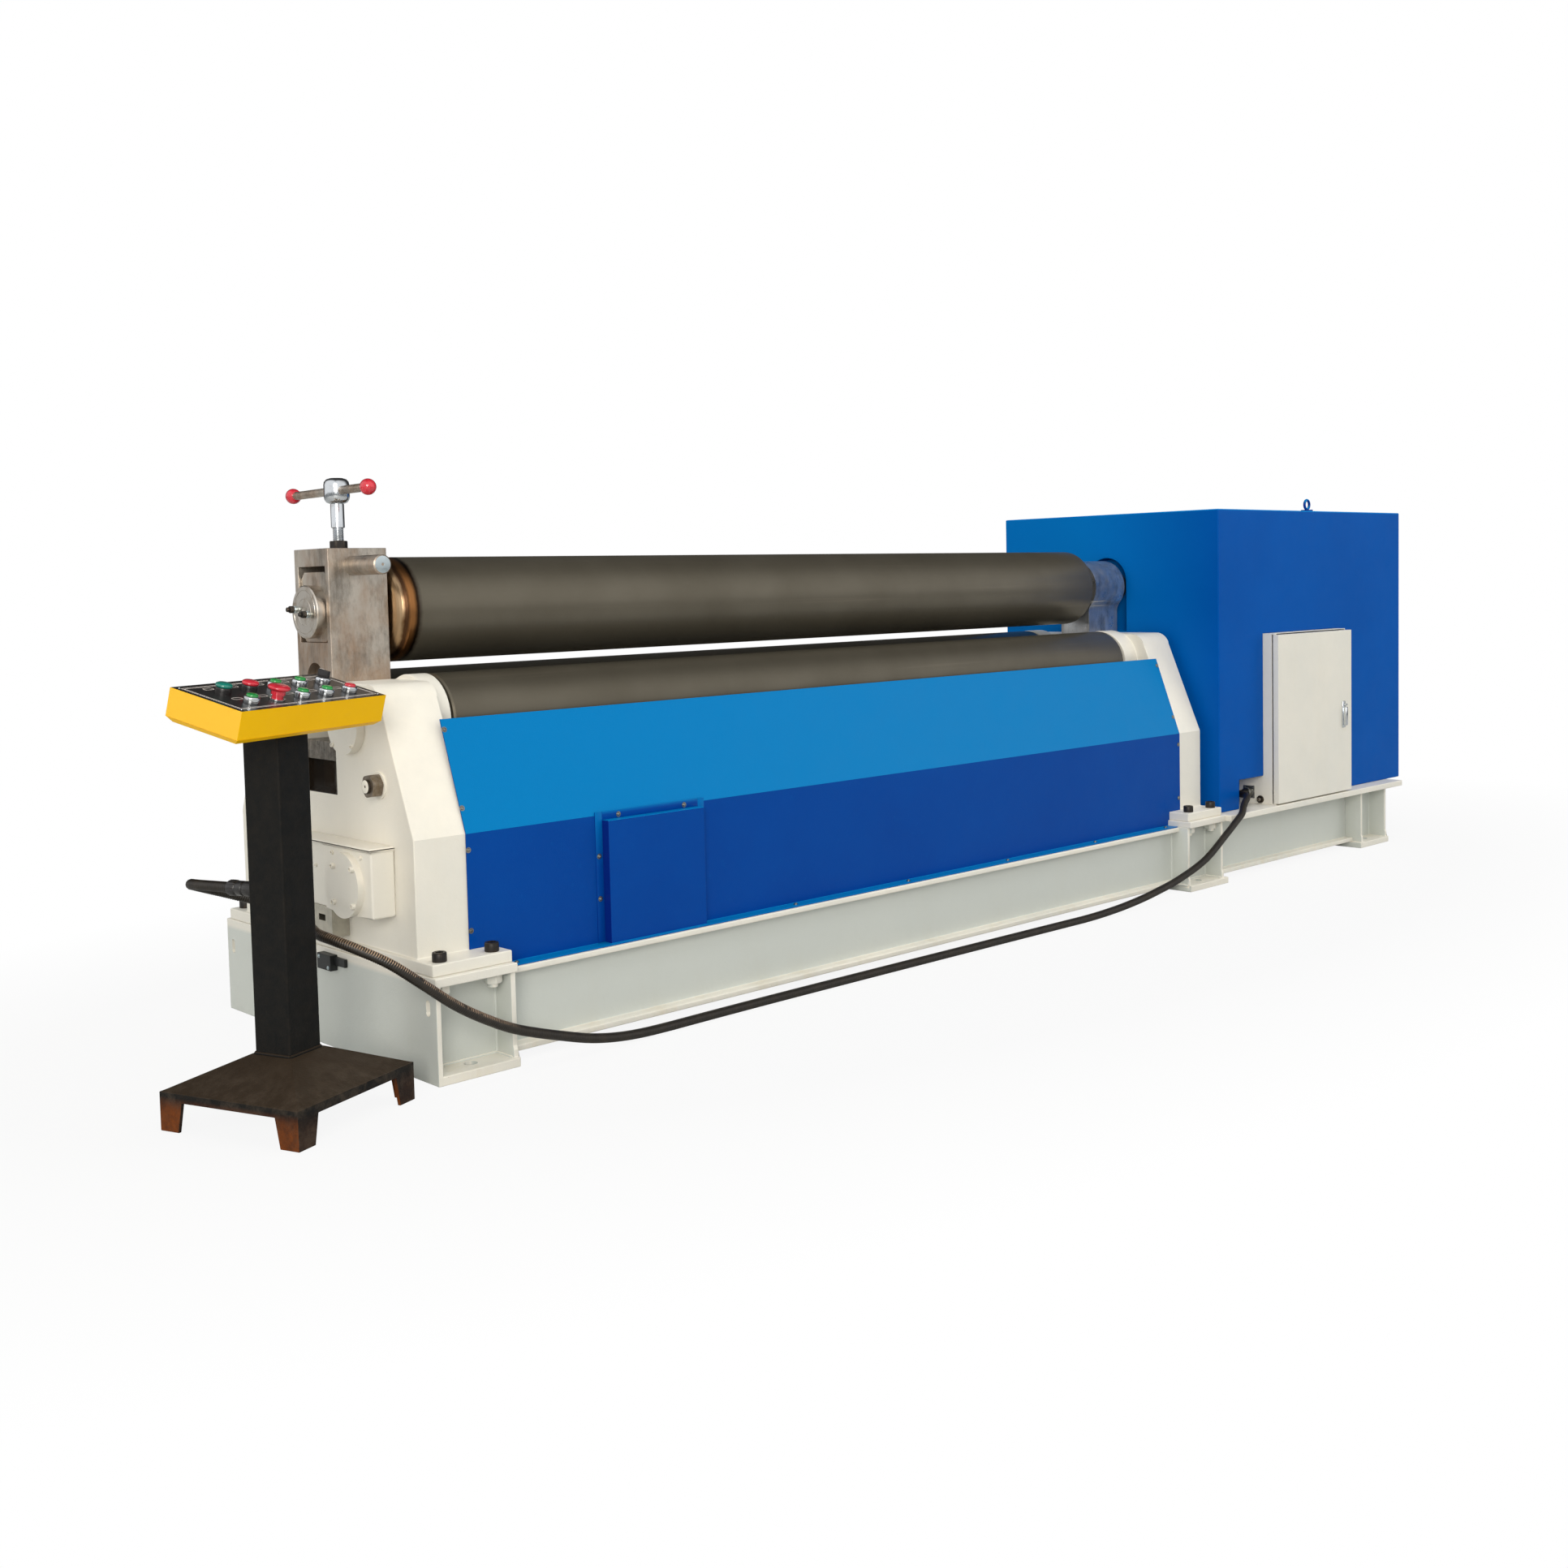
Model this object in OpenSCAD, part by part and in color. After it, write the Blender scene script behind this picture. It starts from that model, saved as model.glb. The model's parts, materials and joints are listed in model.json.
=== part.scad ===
// Three-roll plate bending machine with a free-standing control pedestal.
// The rolls lie along X. Y = 0 is the middle plane between the lower rolls, the front is -Y.
// The origin is on the floor below the outer face of the left stand.

/* [Rolls] */
// Diameter of the upper roll
upper_roll_d = 240; // [200:5:260]
// Diameter of the two lower rolls
lower_roll_d = 202; // [170:2:220]
// Height of the upper roll's axis
upper_axis_z = 973; // [950:1:1000]
// Height of the lower rolls' axes
lower_axis_z = 728; // [700:1:740]
// Distance between the lower rolls' axes
lower_roll_pitch = 292; // [270:2:310]
// Diameter of the lower rolls' journals
lower_journal_d = 110; // [80:5:130]
// Diameter of the upper roll's right journal
upper_journal_d = 110; // [90:5:130]
// Diameter of the tapered journal at the upper roll's left end
taper_journal_d = 92; // [70:2:100]
// Gap between the upper roll's body and the right stand
upper_end_gap = 53; // [30:1:60]
// Gap between the lower rolls' bodies and the bosses of the stands
lower_end_gap = 8; // [5:1:15]

/* [Stands] */
// Clear distance between the two stands
stand_gap = 2660; // [2200:10:3200]
// Thickness of each stand
stand_t = 143; // [110:1:180]
// Depth of the stands, front to back
stand_w = 782; // [740:2:840]
// Height of the stands' flat tops
stand_top_z = 818; // [800:1:850]
// Height at which the sides start to slope inwards
stand_crease_z = 498; // [440:2:560]
// Width of the stands just below their rounded shoulders
stand_shoulder_w = 552; // [500:4:600]
// Radius of the rounded shoulders
shoulder_r = 50; // [20:5:70]
// Thickness of the foot flange
flange_t = 26; // [15:1:40]
// Depth of the foot flange, front to back
flange_w = 926; // [860:2:950]
// How far the foot flange stands out past the faces of the stand
flange_lip = 43; // [20:1:60]
// Length of the round bearing bosses on the left stand's inner face
boss_left_t = 50; // [20:1:60]
// Length of the round bearing bosses on the right stand's inner face
boss_right_t = 66; // [20:1:80]

/* [Drop end] */
// Width of the tipping bearing block
block_w = 154; // [140:2:170]
// Height of the top of the tipping block
block_top_z = 1112; // [1100:1:1150]
// Distance of the tipping axis from the outer face of the stand
tip_axis_x = 110; // [100:1:115]
// Height of the tipping axis
tip_axis_z = 790; // [780:1:800]
// Diameter of the tipping pin
tip_pin_d = 34; // [24:2:40]
// Width of the bearing window through the block
window_w = 122; // [110:2:130]
// Height of the bearing window
window_h = 168; // [150:2:180]
// Diameter of the pull bar
pull_bar_d = 43; // [30:1:50]
// Length of the pull bar
pull_bar_l = 130; // [80:5:160]
// Length of the cross bar between its ball centres
t_bar_l = 386; // [300:2:420]
// Diameter of the cross bar
t_bar_d = 19; // [14:1:24]
// Diameter of the balls on the cross bar
ball_d = 36; // [28:1:44]

/* [Base] */
// Height of the base up to the underside of the stands' flanges
base_h = 224; // [180:2:260]
// Thickness of the base's top plates
top_plate_t = 20; // [12:1:30]
// Thickness of the base's bottom plates
bottom_plate_t = 20; // [12:1:30]
// Thickness of the base's webs, end plates and stiffeners
web_t = 12; // [8:1:20]
// Depth of the feet, front to back
foot_w = 954; // [920:2:1000]
// Depth between the outer faces of the webs
web_w = 810; // [780:2:830]
// Depth over the flanges of the long beams
beam_w = 870; // [850:2:900]
// Length of the base from the outer face of the left stand
base_l = 4141; // [4080:1:4250]

/* [Gear housing] */
// Gap between the right stand and the housing
housing_gap = 39; // [30:1:60]
// Length of the housing
housing_l = 1250; // [1150:10:1300]
// Depth of the housing, front to back
housing_w = 876; // [820:4:900]
// Height of the housing's top
housing_top_z = 1220; // [1150:5:1260]
// Length of the cabinet along the housing
cabinet_l = 500; // [400:10:520]
// Height of the cabinet
cabinet_h = 580; // [500:10:640]
// How far the cabinet stands out of the housing
cabinet_out = 56; // [30:1:60]
// Thickness of the cabinet's door
door_t = 22; // [15:1:25]

/* [Covers] */
// Thickness of the sheet-metal covers
sheet_t = 3; // [2:0.5:5]
// Height of the covers' upper edges
cover_top_z = 738; // [700:1:745]
// How far the covers lap over the stands
cover_lap = 18; // [10:1:25]

/* [Control pedestal] */
// Side of the square base
pedestal_base_w = 338; // [280:2:380]
// Side of the square post
post_w = 88; // [60:2:110]
// Height of the post
post_top_z = 760; // [700:5:800]
// Width of the control box
box_w = 424; // [400:2:460]
// Depth of the control box
box_d = 170; // [160:2:200]
// Height of the control box
box_h = 64; // [50:1:80]

/* [Cable] */
// Diameter of the cable
cable_d = 22; // [16:1:26]

/* [Hidden] */
$fn = 64;
eps = 1;            // overshoot of cutting bodies
fit = 0.3;          // sliding clearance between flat faces that move
run_fit = 0.05;     // radial clearance of shafts in their bores

blue = [0, 0.36, 0.66];
cream = [0.93, 0.90, 0.84];
steel = [0.62, 0.59, 0.55];
dark_steel = [0.25, 0.24, 0.21];
black = [0.12, 0.12, 0.12];
yellow = [0.88, 0.67, 0];
red = [0.85, 0.15, 0.2];
green = [0.1, 0.6, 0.25];
chrome = [0.85, 0.86, 0.88];

// Places along X
left_in_x = stand_t;
right_in_x = stand_t + stand_gap;
right_out_x = right_in_x + stand_t;
housing_x = right_out_x + housing_gap;
housing_end_x = housing_x + housing_l;

// Rounding arc in a plane: points from angle a0 to a1 about c
function on_circle(a) = [cos(a), sin(a)];

function arc(c, r, a0, a1, n = 8) = [for (i = [0:n]) c + r * on_circle(a0 + (a1 - a0) * i / n)];

// Extrudes a profile drawn in Y and Z along X, from x0 to x1
module along_x(x0, x1) {
    translate([x0, 0, 0]) rotate([90, 0, 90]) linear_extrude(x1 - x0) children();
}

module box(a, b) {
    translate(a) cube(b - a);
}

module rod_x(x0, x1, d, y = 0, z = 0) {
    translate([x0, y, z]) rotate([0, 90, 0]) cylinder(h = x1 - x0, d = d);
}

module rod_y(y0, y1, d, x = 0, z = 0) {
    translate([x, y1, z]) rotate([90, 0, 0]) cylinder(h = y1 - y0, d = d);
}

// Repeats its children mirrored about the middle plane
module both_sides() {
    children();
    mirror([0, 1, 0]) children();
}

// Rectangular frustum from half sizes a at height z0 to half sizes b at height z1
module frustum(a, b, z0, z1) {
    polyhedron(
        points = [[-a[0], -a[1], z0], [a[0], -a[1], z0], [a[0], a[1], z0], [-a[0], a[1], z0],
                  [-b[0], -b[1], z1], [b[0], -b[1], z1], [b[0], b[1], z1], [-b[0], b[1], z1]],
        faces = [[0, 1, 2, 3], [4, 7, 6, 5], [0, 4, 5, 1], [1, 5, 6, 2], [2, 6, 7, 3], [3, 7, 4, 0]]);
}

// ---- Base

foot_left_x0 = -web_t;
foot_left_x1 = left_in_x + flange_lip + 4;
foot_right_x0 = right_in_x - flange_lip - 8;
foot_right_x1 = right_out_x + 11;
end_foot_x0 = base_l - 278;
end_foot_x1 = base_l - 68;
foot_front = foot_w / 2;
web_out = web_w / 2;
web_in = web_out - web_t;
plate_z = base_h - top_plate_t;     // underside of the top plates
beam_flange_t = 14;
anchor_d = 30;
anchor_edge = 45;                   // from the anchor holes to a foot's front edge
anchor_y = foot_front - anchor_edge;
anchor_inset = 105;                 // of the anchor holes from a foot's left edge
end_hole_d = 16;
end_hole_h = 18;
foot_lip = 15;                      // of the right foot's plate past its last stiffener

// Stiffener outside each web, narrow at the top
module rib(x) {
    edge = foot_front - 8;
    toe_h = 16;
    top_w = 14;
    both_sides() along_x(x, x + web_t)
        polygon([[web_out, bottom_plate_t], [edge, bottom_plate_t], [edge, bottom_plate_t + toe_h],
                 [web_out + top_w, plate_z], [web_out, plate_z]]);
}

module webs(x0, x1) {
    both_sides() box([x0, web_in, bottom_plate_t], [x1, web_out, plate_z]);
}

module foot_plate(x0, x1, hole_x) {
    difference() {
        box([x0, -foot_front, 0], [x1, foot_front, bottom_plate_t]);
        both_sides() translate([hole_x, anchor_y, -eps])
            cylinder(h = bottom_plate_t + 2 * eps, d = anchor_d);
    }
}

module foot_left() {
    end_hole_z = 150;
    end_hole_y = foot_front - 32;
    color(cream) {
        foot_plate(foot_left_x0, foot_left_x1, foot_left_x0 + anchor_inset);
        box([foot_left_x0, -foot_front, plate_z], [foot_left_x1, foot_front, base_h]);
        difference() {
            box([foot_left_x0, -foot_front, bottom_plate_t], [0, foot_front, plate_z]);
            both_sides() {
                for (z = [end_hole_z, end_hole_z + end_hole_h])
                    rod_x(foot_left_x0 - eps, eps, end_hole_d, end_hole_y, z);
                translate([0, end_hole_y, 0])
                    box([foot_left_x0 - eps, -end_hole_d / 2, end_hole_z],
                        [eps, end_hole_d / 2, end_hole_z + end_hole_h]);
            }
        }
        webs(0, foot_left_x1);
        rib(foot_left_x1 - web_t);
    }
}

module foot_right() {
    color(cream) {
        foot_plate(foot_right_x0, foot_right_x1 + foot_lip, foot_right_x0 + anchor_inset);
        box([foot_right_x0, -foot_front, plate_z], [foot_right_x1, foot_front, base_h]);
        webs(foot_right_x0, foot_right_x1);
        rib(foot_right_x0);
        rib(foot_right_x1 - web_t);
    }
}

// A channel with its open side outwards, on the rear side
module channel(x0, x1, top) {
    outer = beam_w / 2;
    box([x0, web_out, bottom_plate_t], [x1, outer, bottom_plate_t + beam_flange_t]);
    box([x0, web_in, bottom_plate_t], [x1, web_out, plate_z]);
    if (top)
        box([x0, web_out, plate_z - beam_flange_t], [x1, outer, plate_z]);
}

module beam_front() {
    color(cream) mirror([0, 1, 0]) channel(foot_left_x1, foot_right_x0, true);
}

module beam_rear() {
    color(cream) channel(foot_left_x1, foot_right_x0, true);
}

end_rib_x = end_foot_x0 + 19;

module platform() {
    overhang = 20;
    edge = foot_front + overhang;
    color(cream) {
        box([foot_right_x1, -edge, plate_z], [base_l, edge, base_h]);
        both_sides() channel(foot_right_x1, end_rib_x, false);
    }
}

module end_foot() {
    color(cream) {
        foot_plate(end_foot_x0, end_foot_x1, end_foot_x0 + anchor_inset);
        webs(end_rib_x, end_foot_x1);
        box([end_foot_x1 - web_t, -web_out, bottom_plate_t], [end_foot_x1, web_out, plate_z]);
        rib(end_rib_x);
        rib(end_foot_x1 - web_t);
    }
}

// ---- Stands

stand_z0 = base_h + flange_t;
slot_z0 = 570;
lift_screw_d = 60;
head_w = 114;                  // width of the right bearing head's stem
lower_y = lower_roll_pitch / 2;
journal_bore = lower_journal_d + 2 * run_fit;

// Half outline of the stand, mirrored about Y = 0
function stand_half() =
    let (w = stand_w / 2, s = stand_shoulder_w / 2,
         slope = atan2(stand_top_z - stand_crease_z, w - s),
         c = [s - shoulder_r, stand_top_z - shoulder_r])
    concat([[w, stand_z0], [w, stand_crease_z]], arc(c, shoulder_r, 90 - slope, 90, 8));

module stand_outline() {
    half = stand_half();
    n = len(half);
    polygon(concat(half, [for (i = [n - 1:-1:0]) [-half[i][0], half[i][1]]]));
}

flange_end = 9;                // of the foot flange past the stand's outer face
screw_hole_z = 320;            // bottom of the lift screws' holes
tie_y = 262;
tie_z = 605;
tie_d = 30;

// Stand plate with foot flange, slot for the lift slide and bores for the lower rolls
module stand(x0, x1, flange_x0, flange_x1, slot_w, boss_x0, boss_x1, slot_x0, slot_x1) {
    difference() {
        union() {
            along_x(x0, x1) stand_outline();
            box([flange_x0, -flange_w / 2, base_h], [flange_x1, flange_w / 2, stand_z0]);
            both_sides() rod_x(boss_x0, boss_x1, lower_roll_d + 2, lower_y, lower_axis_z);
        }
        box([slot_x0 - eps, -slot_w / 2 - fit, slot_z0],
            [slot_x1 + eps, slot_w / 2 + fit, stand_top_z + eps]);
        translate([(x0 + x1) / 2, 0, screw_hole_z])
            cylinder(h = slot_z0 - screw_hole_z + eps, d = lift_screw_d + 2 * run_fit);
        both_sides() {
            rod_x(min(x0, boss_x0) - eps, max(x1, boss_x1) + eps, journal_bore, lower_y, lower_axis_z);
            rod_x(x0 - eps, x1 + eps, tie_d, tie_y, tie_z);
        }
    }
}

module stand_left() {
    boss_x = left_in_x + boss_left_t;
    color(cream)
        stand(0, left_in_x, -flange_end, left_in_x + flange_lip, block_w, left_in_x, boss_x, 0, boss_x);
}

module stand_right() {
    color(cream)
        stand(right_in_x, right_out_x, right_in_x - flange_lip, right_out_x + flange_end, head_w,
              right_in_x - boss_right_t, right_in_x, right_in_x, right_out_x);
}

washer_t = 4;
tie_nut_t = 24;

// Tie rods between the stands
module tie_rods() {
    stud = washer_t + tie_nut_t + 6;
    color(dark_steel) both_sides() rod_x(-stud, right_out_x + stud, tie_d, tie_y, tie_z);
}

// A washer and a nut on each end of the tie rods
module tie_nuts() {
    washer_d = 60;
    nut_d = 53;
    ends = washer_t + tie_nut_t;
    color(dark_steel) both_sides() difference() {
        union() {
            rod_x(-washer_t, 0, washer_d, tie_y, tie_z);
            rod_x(right_out_x, right_out_x + washer_t, washer_d, tie_y, tie_z);
            for (x = [-ends, right_out_x + washer_t])
                translate([x, tie_y, tie_z]) rotate([0, 90, 0]) cylinder(h = tie_nut_t, d = nut_d, $fn = 6);
        }
        rod_x(-ends - eps, right_out_x + ends + eps, tie_d, tie_y, tie_z);
    }
}

cap_t = 20;
cap_d = 128;

// Round covers over the lower rolls' left ends, cut off beside the slot
module roll_caps() {
    edge = block_w / 2 + 4;
    color(cream) both_sides() intersection() {
        rod_x(-cap_t, 0, cap_d, lower_y, lower_axis_z);
        box([-cap_t - eps, edge, lower_axis_z - cap_d], [eps, edge + cap_d, lower_axis_z + cap_d]);
    }
}

gear_front = 313;
gear_x = -56;
gear_z0 = 330;
gear_z1 = 472;
gear_disc_y = -212;
gear_disc_z = 394;
neck_y = -111;                 // where the gear case gets thinner

// Worm gear case low on the left stand's outer face, with a ledge over it
module lift_gear_left() {
    neck_x = -44;
    rear_y = 60;
    ledge_t = 8;
    disc_t = 15;
    disc_d = 140;
    color(cream) {
        box([gear_x, -gear_front, gear_z0], [0, neck_y, gear_z1]);
        box([neck_x, neck_y, gear_z0], [0, rear_y, gear_z1]);
        box([gear_x - 4, -gear_front - 2, gear_z1], [0, rear_y, gear_z1 + ledge_t]);
        rod_x(gear_x - disc_t, gear_x, disc_d, gear_disc_y, gear_disc_z);
    }
}

// Open cup that hangs under the gear case
module drain_cup() {
    wall = 2;
    cup_x = -42;
    cup_z = 262;
    cup_l = 90;
    lid_t = 20;
    window_at = [30, 34];
    window_l = 30;
    color(steel) difference() {
        box([cup_x, neck_y, cup_z], [0, neck_y + cup_l, gear_z0]);
        box([cup_x + wall, neck_y + wall, cup_z + wall], [-wall, neck_y + cup_l - wall, gear_z0 - lid_t]);
        box([cup_x - eps, neck_y + window_at[0], cup_z + window_at[1]],
            [cup_x + wall + eps, neck_y + window_at[0] + window_l, gear_z0 - lid_t]);
    }
}

// Switch with a side tongue on the base's end plate
module limit_switch() {
    x0 = foot_left_x0;
    body = [18, 60, 35];
    body_at = [-72, 180];
    tongue = [8, 45, 18];
    tongue_z = body_at[1] + 13;
    color(black) {
        box([x0 - body[0], body_at[0], body_at[1]], [x0, body_at[0] + body[1], body_at[1] + body[2]]);
        box([x0 - tongue[0], body_at[0] - tongue[1], tongue_z], [x0, body_at[0], tongue_z + tongue[2]]);
    }
}

// ---- Sheet-metal covers

cover_lip = 38;

// The rear cover: a vertical sheet, a sloping sheet and a lip on the beam
module cover() {
    w = stand_w / 2;
    s = stand_shoulder_w / 2;
    rise = stand_top_z - stand_crease_z;
    top_y = w - (w - s) * (cover_top_z - stand_crease_z) / rise;
    x0 = left_in_x - cover_lap;
    x1 = right_in_x + cover_lap;
    mid0 = left_in_x + flange_lip + fit;
    mid1 = right_in_x - flange_lip - fit;
    along_x(x0, x1) polygon([[w, stand_z0], [w, stand_crease_z], [top_y, cover_top_z],
                             [top_y + sheet_t, cover_top_z], [w + sheet_t, stand_crease_z],
                             [w + sheet_t, stand_z0]]);
    along_x(mid0, mid1)
        polygon([[w, base_h], [w, stand_z0 + eps], [w + sheet_t, stand_z0 + eps], [w + sheet_t, base_h]]);
    along_x(foot_left_x1, foot_right_x0)
        polygon([[w, plate_z], [w, base_h + eps], [w + sheet_t, base_h + eps],
                 [w + sheet_t, plate_z + sheet_t],
                 [w + cover_lip, plate_z + sheet_t], [w + cover_lip, plate_z]]);
}

module cover_front() {
    y = -stand_w / 2 - sheet_t;
    panel_x = foot_left_x1 + 295;
    panel_l = 285;
    raised = 25;
    panel_z = plate_z + sheet_t;
    panel_top = 487;
    color(blue) {
        mirror([0, 1, 0]) cover();
        box([panel_x, y - raised, panel_z], [panel_x + panel_l, y + eps, panel_top]);
    }
}

module cover_rear() {
    color(blue) cover();
}

// ---- Gear housing and cabinet

cabinet_x0 = housing_x + 275;
cabinet_x1 = cabinet_x0 + cabinet_l;
cabinet_front = housing_w / 2 + cabinet_out;
cabinet_depth = 150;
cabinet_back = cabinet_front - cabinet_depth;
notch_x0 = housing_x + 121;
notch_z1 = 321;
shaft_slot_w = 156;
shaft_slot_z = upper_axis_z + 19;
shaft_slot_t = 45;

module gear_housing() {
    color(blue) difference() {
        box([housing_x, -housing_w / 2, base_h], [housing_end_x, housing_w / 2, housing_top_z]);
        box([cabinet_x0, -housing_w, base_h - eps], [cabinet_x1, -cabinet_back, base_h + cabinet_h]);
        box([notch_x0, -housing_w, base_h - eps], [cabinet_x0 + eps, -cabinet_back, notch_z1]);
        translate([housing_x, 0, 0]) along_x(-eps, shaft_slot_t) {
            translate([0, shaft_slot_z]) circle(d = shaft_slot_w);
            translate([-shaft_slot_w / 2, stand_top_z]) square([shaft_slot_w, shaft_slot_z - stand_top_z]);
        }
        both_sides()
            rod_x(housing_x - eps, housing_x + shaft_slot_t, journal_bore, lower_y, lower_axis_z);
    }
}

eye_x = housing_x + 640;

module lifting_eye() {
    inset = 40;
    collar = [6, 40];
    ring_r = 16;
    bar_d = 9;
    color(blue) translate([eye_x, -housing_w / 2 + inset, housing_top_z]) {
        cylinder(h = collar[0], d = collar[1]);
        translate([0, 0, ring_r + bar_d - eps]) rotate([90, 0, 0]) rotate_extrude()
            translate([ring_r, 0]) circle(d = bar_d, $fn = 24);
    }
}

cabinet_wall = 2;
door_gap = 2;
hinge_d = 6;
hinge_in = 5;                  // of the hinge axis from the door's side and rear
hinge_plate_t = 4;
hinge_x = cabinet_x0 + hinge_in;
hinge_y = -cabinet_front + door_t - hinge_in;
door_rear = -cabinet_front + door_t;
door_z0 = base_h + 5;
door_z1 = base_h + cabinet_h - 5;
pin_l = 12;

// Sheet-metal box, open to the front, with a plate and a pin for each hinge
module cabinet() {
    front = door_rear + door_gap;
    top = base_h + cabinet_h;
    w = cabinet_wall;
    color(cream) {
        difference() {
            box([cabinet_x0, front, base_h], [cabinet_x1, -cabinet_back, top]);
            box([cabinet_x0 + w, front - eps, base_h + w], [cabinet_x1 - w, -cabinet_back - w, top - w]);
        }
        for (z = [base_h, top - hinge_plate_t])
            box([cabinet_x0, hinge_y - hinge_in, z],
                [cabinet_x0 + 2 * hinge_in, front + w, z + hinge_plate_t]);
        translate([hinge_x, hinge_y, base_h + hinge_plate_t - eps]) cylinder(h = pin_l + eps, d = hinge_d);
        translate([hinge_x, hinge_y, top - hinge_plate_t - pin_l]) cylinder(h = pin_l + eps, d = hinge_d);
    }
}

// Door folded into a pan, with a bored lug at each end of its hinge side
module cabinet_door() {
    w = cabinet_wall;
    lug = 2 * hinge_in + 2;
    color(cream) difference() {
        union() {
            difference() {
                box([cabinet_x0, -cabinet_front, door_z0], [cabinet_x1, door_rear, door_z1]);
                box([cabinet_x0 + w, -cabinet_front + w, door_z0 + w],
                    [cabinet_x1 - w, door_rear + eps, door_z1 - w]);
            }
            for (z = [door_z0, door_z1 - pin_l])
                box([cabinet_x0, hinge_y - hinge_in - 2, z], [cabinet_x0 + lug, door_rear, z + pin_l]);
        }
        for (z = [door_z0, door_z1 - pin_l])
            translate([hinge_x, hinge_y, z - eps])
                cylinder(h = pin_l + 2 * eps, d = hinge_d + 2 * run_fit);
        hinge_edge();
    }
}

// Cuts the door's rear edge on the hinge side round about the hinge axis
module hinge_edge() {
    translate([0, 0, door_z0 - eps]) linear_extrude(door_z1 - door_z0 + 2 * eps) difference() {
        translate([cabinet_x0 - eps, hinge_y]) square([hinge_in + eps, hinge_in + eps]);
        translate([hinge_x, hinge_y]) circle(r = hinge_in);
    }
}

module door_handle() {
    handle_x = cabinet_x1 - 60;
    handle_z0 = base_h + 231;
    plate = [20, 4, 94];
    lever = [14, 12, 66];
    lock_h = 8;
    gap = 4;
    color(chrome) translate([handle_x - plate[0] / 2, -cabinet_front - plate[1], handle_z0]) {
        cube(plate);
        translate([(plate[0] - lever[0]) / 2, -lever[1], lock_h]) {
            cube(lever);
            translate([0, 0, lever[2] + gap]) cube([lever[0], lever[1], lock_h]);
        }
    }
}

// ---- Rolls

roll_x1 = right_in_x - upper_end_gap;
roll_round = 34;          // rounding of the upper roll's ends
taper_slope = 0.35;       // fall of the tapered journal's radius per length
taper_tip_x = 72;
journal_end_x = housing_x + 40;

module turned(profile) {
    rotate([0, 90, 0]) rotate_extrude($fn = 96) polygon([for (p = profile) [p[1], p[0]]]);
}

// A lower roll with a journal through each stand
module lower_roll(side) {
    r = lower_roll_d / 2;
    j = lower_journal_d / 2;
    x0 = left_in_x + boss_left_t + lower_end_gap;
    x1 = right_in_x - boss_right_t - lower_end_gap;
    color(dark_steel) translate([0, side * lower_y, lower_axis_z])
        turned([[0.5, 0], [0.5, j], [x0, j], [x0, r - 4], [x0 + 4, r], [x1 - 4, r], [x1, r - 4], [x1, j],
                [journal_end_x, j], [journal_end_x, 0]]);
}

module lower_roll_front() {
    lower_roll(-1);
}

module lower_roll_rear() {
    lower_roll(1);
}

module upper_roll() {
    r = upper_roll_d / 2;
    j = upper_journal_d / 2;
    t = taper_journal_d / 2;
    tip = t - taper_slope * (left_in_x - taper_tip_x);
    x0 = left_in_x + 8;
    chamfer = 10;
    c0 = [x0 + roll_round, r - roll_round];
    color(dark_steel) translate([0, 0, upper_axis_z])
        turned(concat([[taper_tip_x, 0], [taper_tip_x, tip], [left_in_x, t], [x0, t], [x0, r - roll_round]],
                      [for (a = arc(c0, roll_round, 180, 90)) a],
                      [[roll_x1 - chamfer, r], [roll_x1, r - chamfer], [roll_x1, j],
                       [journal_end_x, j], [journal_end_x, 0]]));
}

// ---- Upper roll lift

slide_top_z = 685;
slide_z0 = 643;
tongue_w = 68;
tongue_r = 30;
lift_screw_z = 400;            // bottom of the lift screws
slide_x0 = 8;

// Slide in the left stand's slot, with the tongue that carries the tipping pin
module lift_slide() {
    color(steel) {
        box([slide_x0, -block_w / 2, slide_z0], [left_in_x, block_w / 2, slide_top_z]);
        box([tip_axis_x - tongue_r, -tongue_w / 2, slide_top_z - eps],
            [tip_axis_x + tongue_r, tongue_w / 2, tip_axis_z]);
        rod_y(-tongue_w / 2, tongue_w / 2, 2 * tongue_r, tip_axis_x, tip_axis_z);
        translate([stand_t / 2, 0, lift_screw_z])
            cylinder(h = slide_z0 - lift_screw_z + eps, d = lift_screw_d);
        rod_y(-block_w / 2, block_w / 2, tip_pin_d, tip_axis_x, tip_axis_z);
    }
}

head_r = 88;
head_fillet = 40;
head_x1 = right_out_x + 18;

// Keyhole outline of the right bearing head
module head_outline() {
    s = head_w / 2;
    fz = upper_axis_z - sqrt(pow(head_r + head_fillet, 2) - pow(s + head_fillet, 2));
    a = atan2(upper_axis_z - fz, s + head_fillet);
    right = arc([s + head_fillet, fz], head_fillet, 180, 180 - a, 8);
    n = len(right);
    translate([0, upper_axis_z]) circle(r = head_r, $fn = 96);
    left = [for (i = [n - 1:-1:0]) [-right[i][0], right[i][1]]];
    polygon(concat([[s, slide_z0]], right, left, [[-s, slide_z0]]));
}

module bearing_head_right() {
    color(steel) {
        difference() {
            along_x(right_in_x, head_x1) head_outline();
            rod_x(right_in_x - eps, head_x1 + eps, upper_journal_d + 2 * run_fit, 0, upper_axis_z);
        }
        translate([right_in_x + stand_t / 2, 0, lift_screw_z])
            cylinder(h = slide_z0 - lift_screw_z + eps, d = lift_screw_d);
    }
}

// ---- Drop end

block_x1 = stand_t + 2;
block_z0 = 800;
eye_r = block_x1 - tip_axis_x;
window_z0 = upper_axis_z - 68;
notch_r = 36;
notch_top_z = 860;
screw_x = 70;
screw_d = 23.9;

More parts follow.
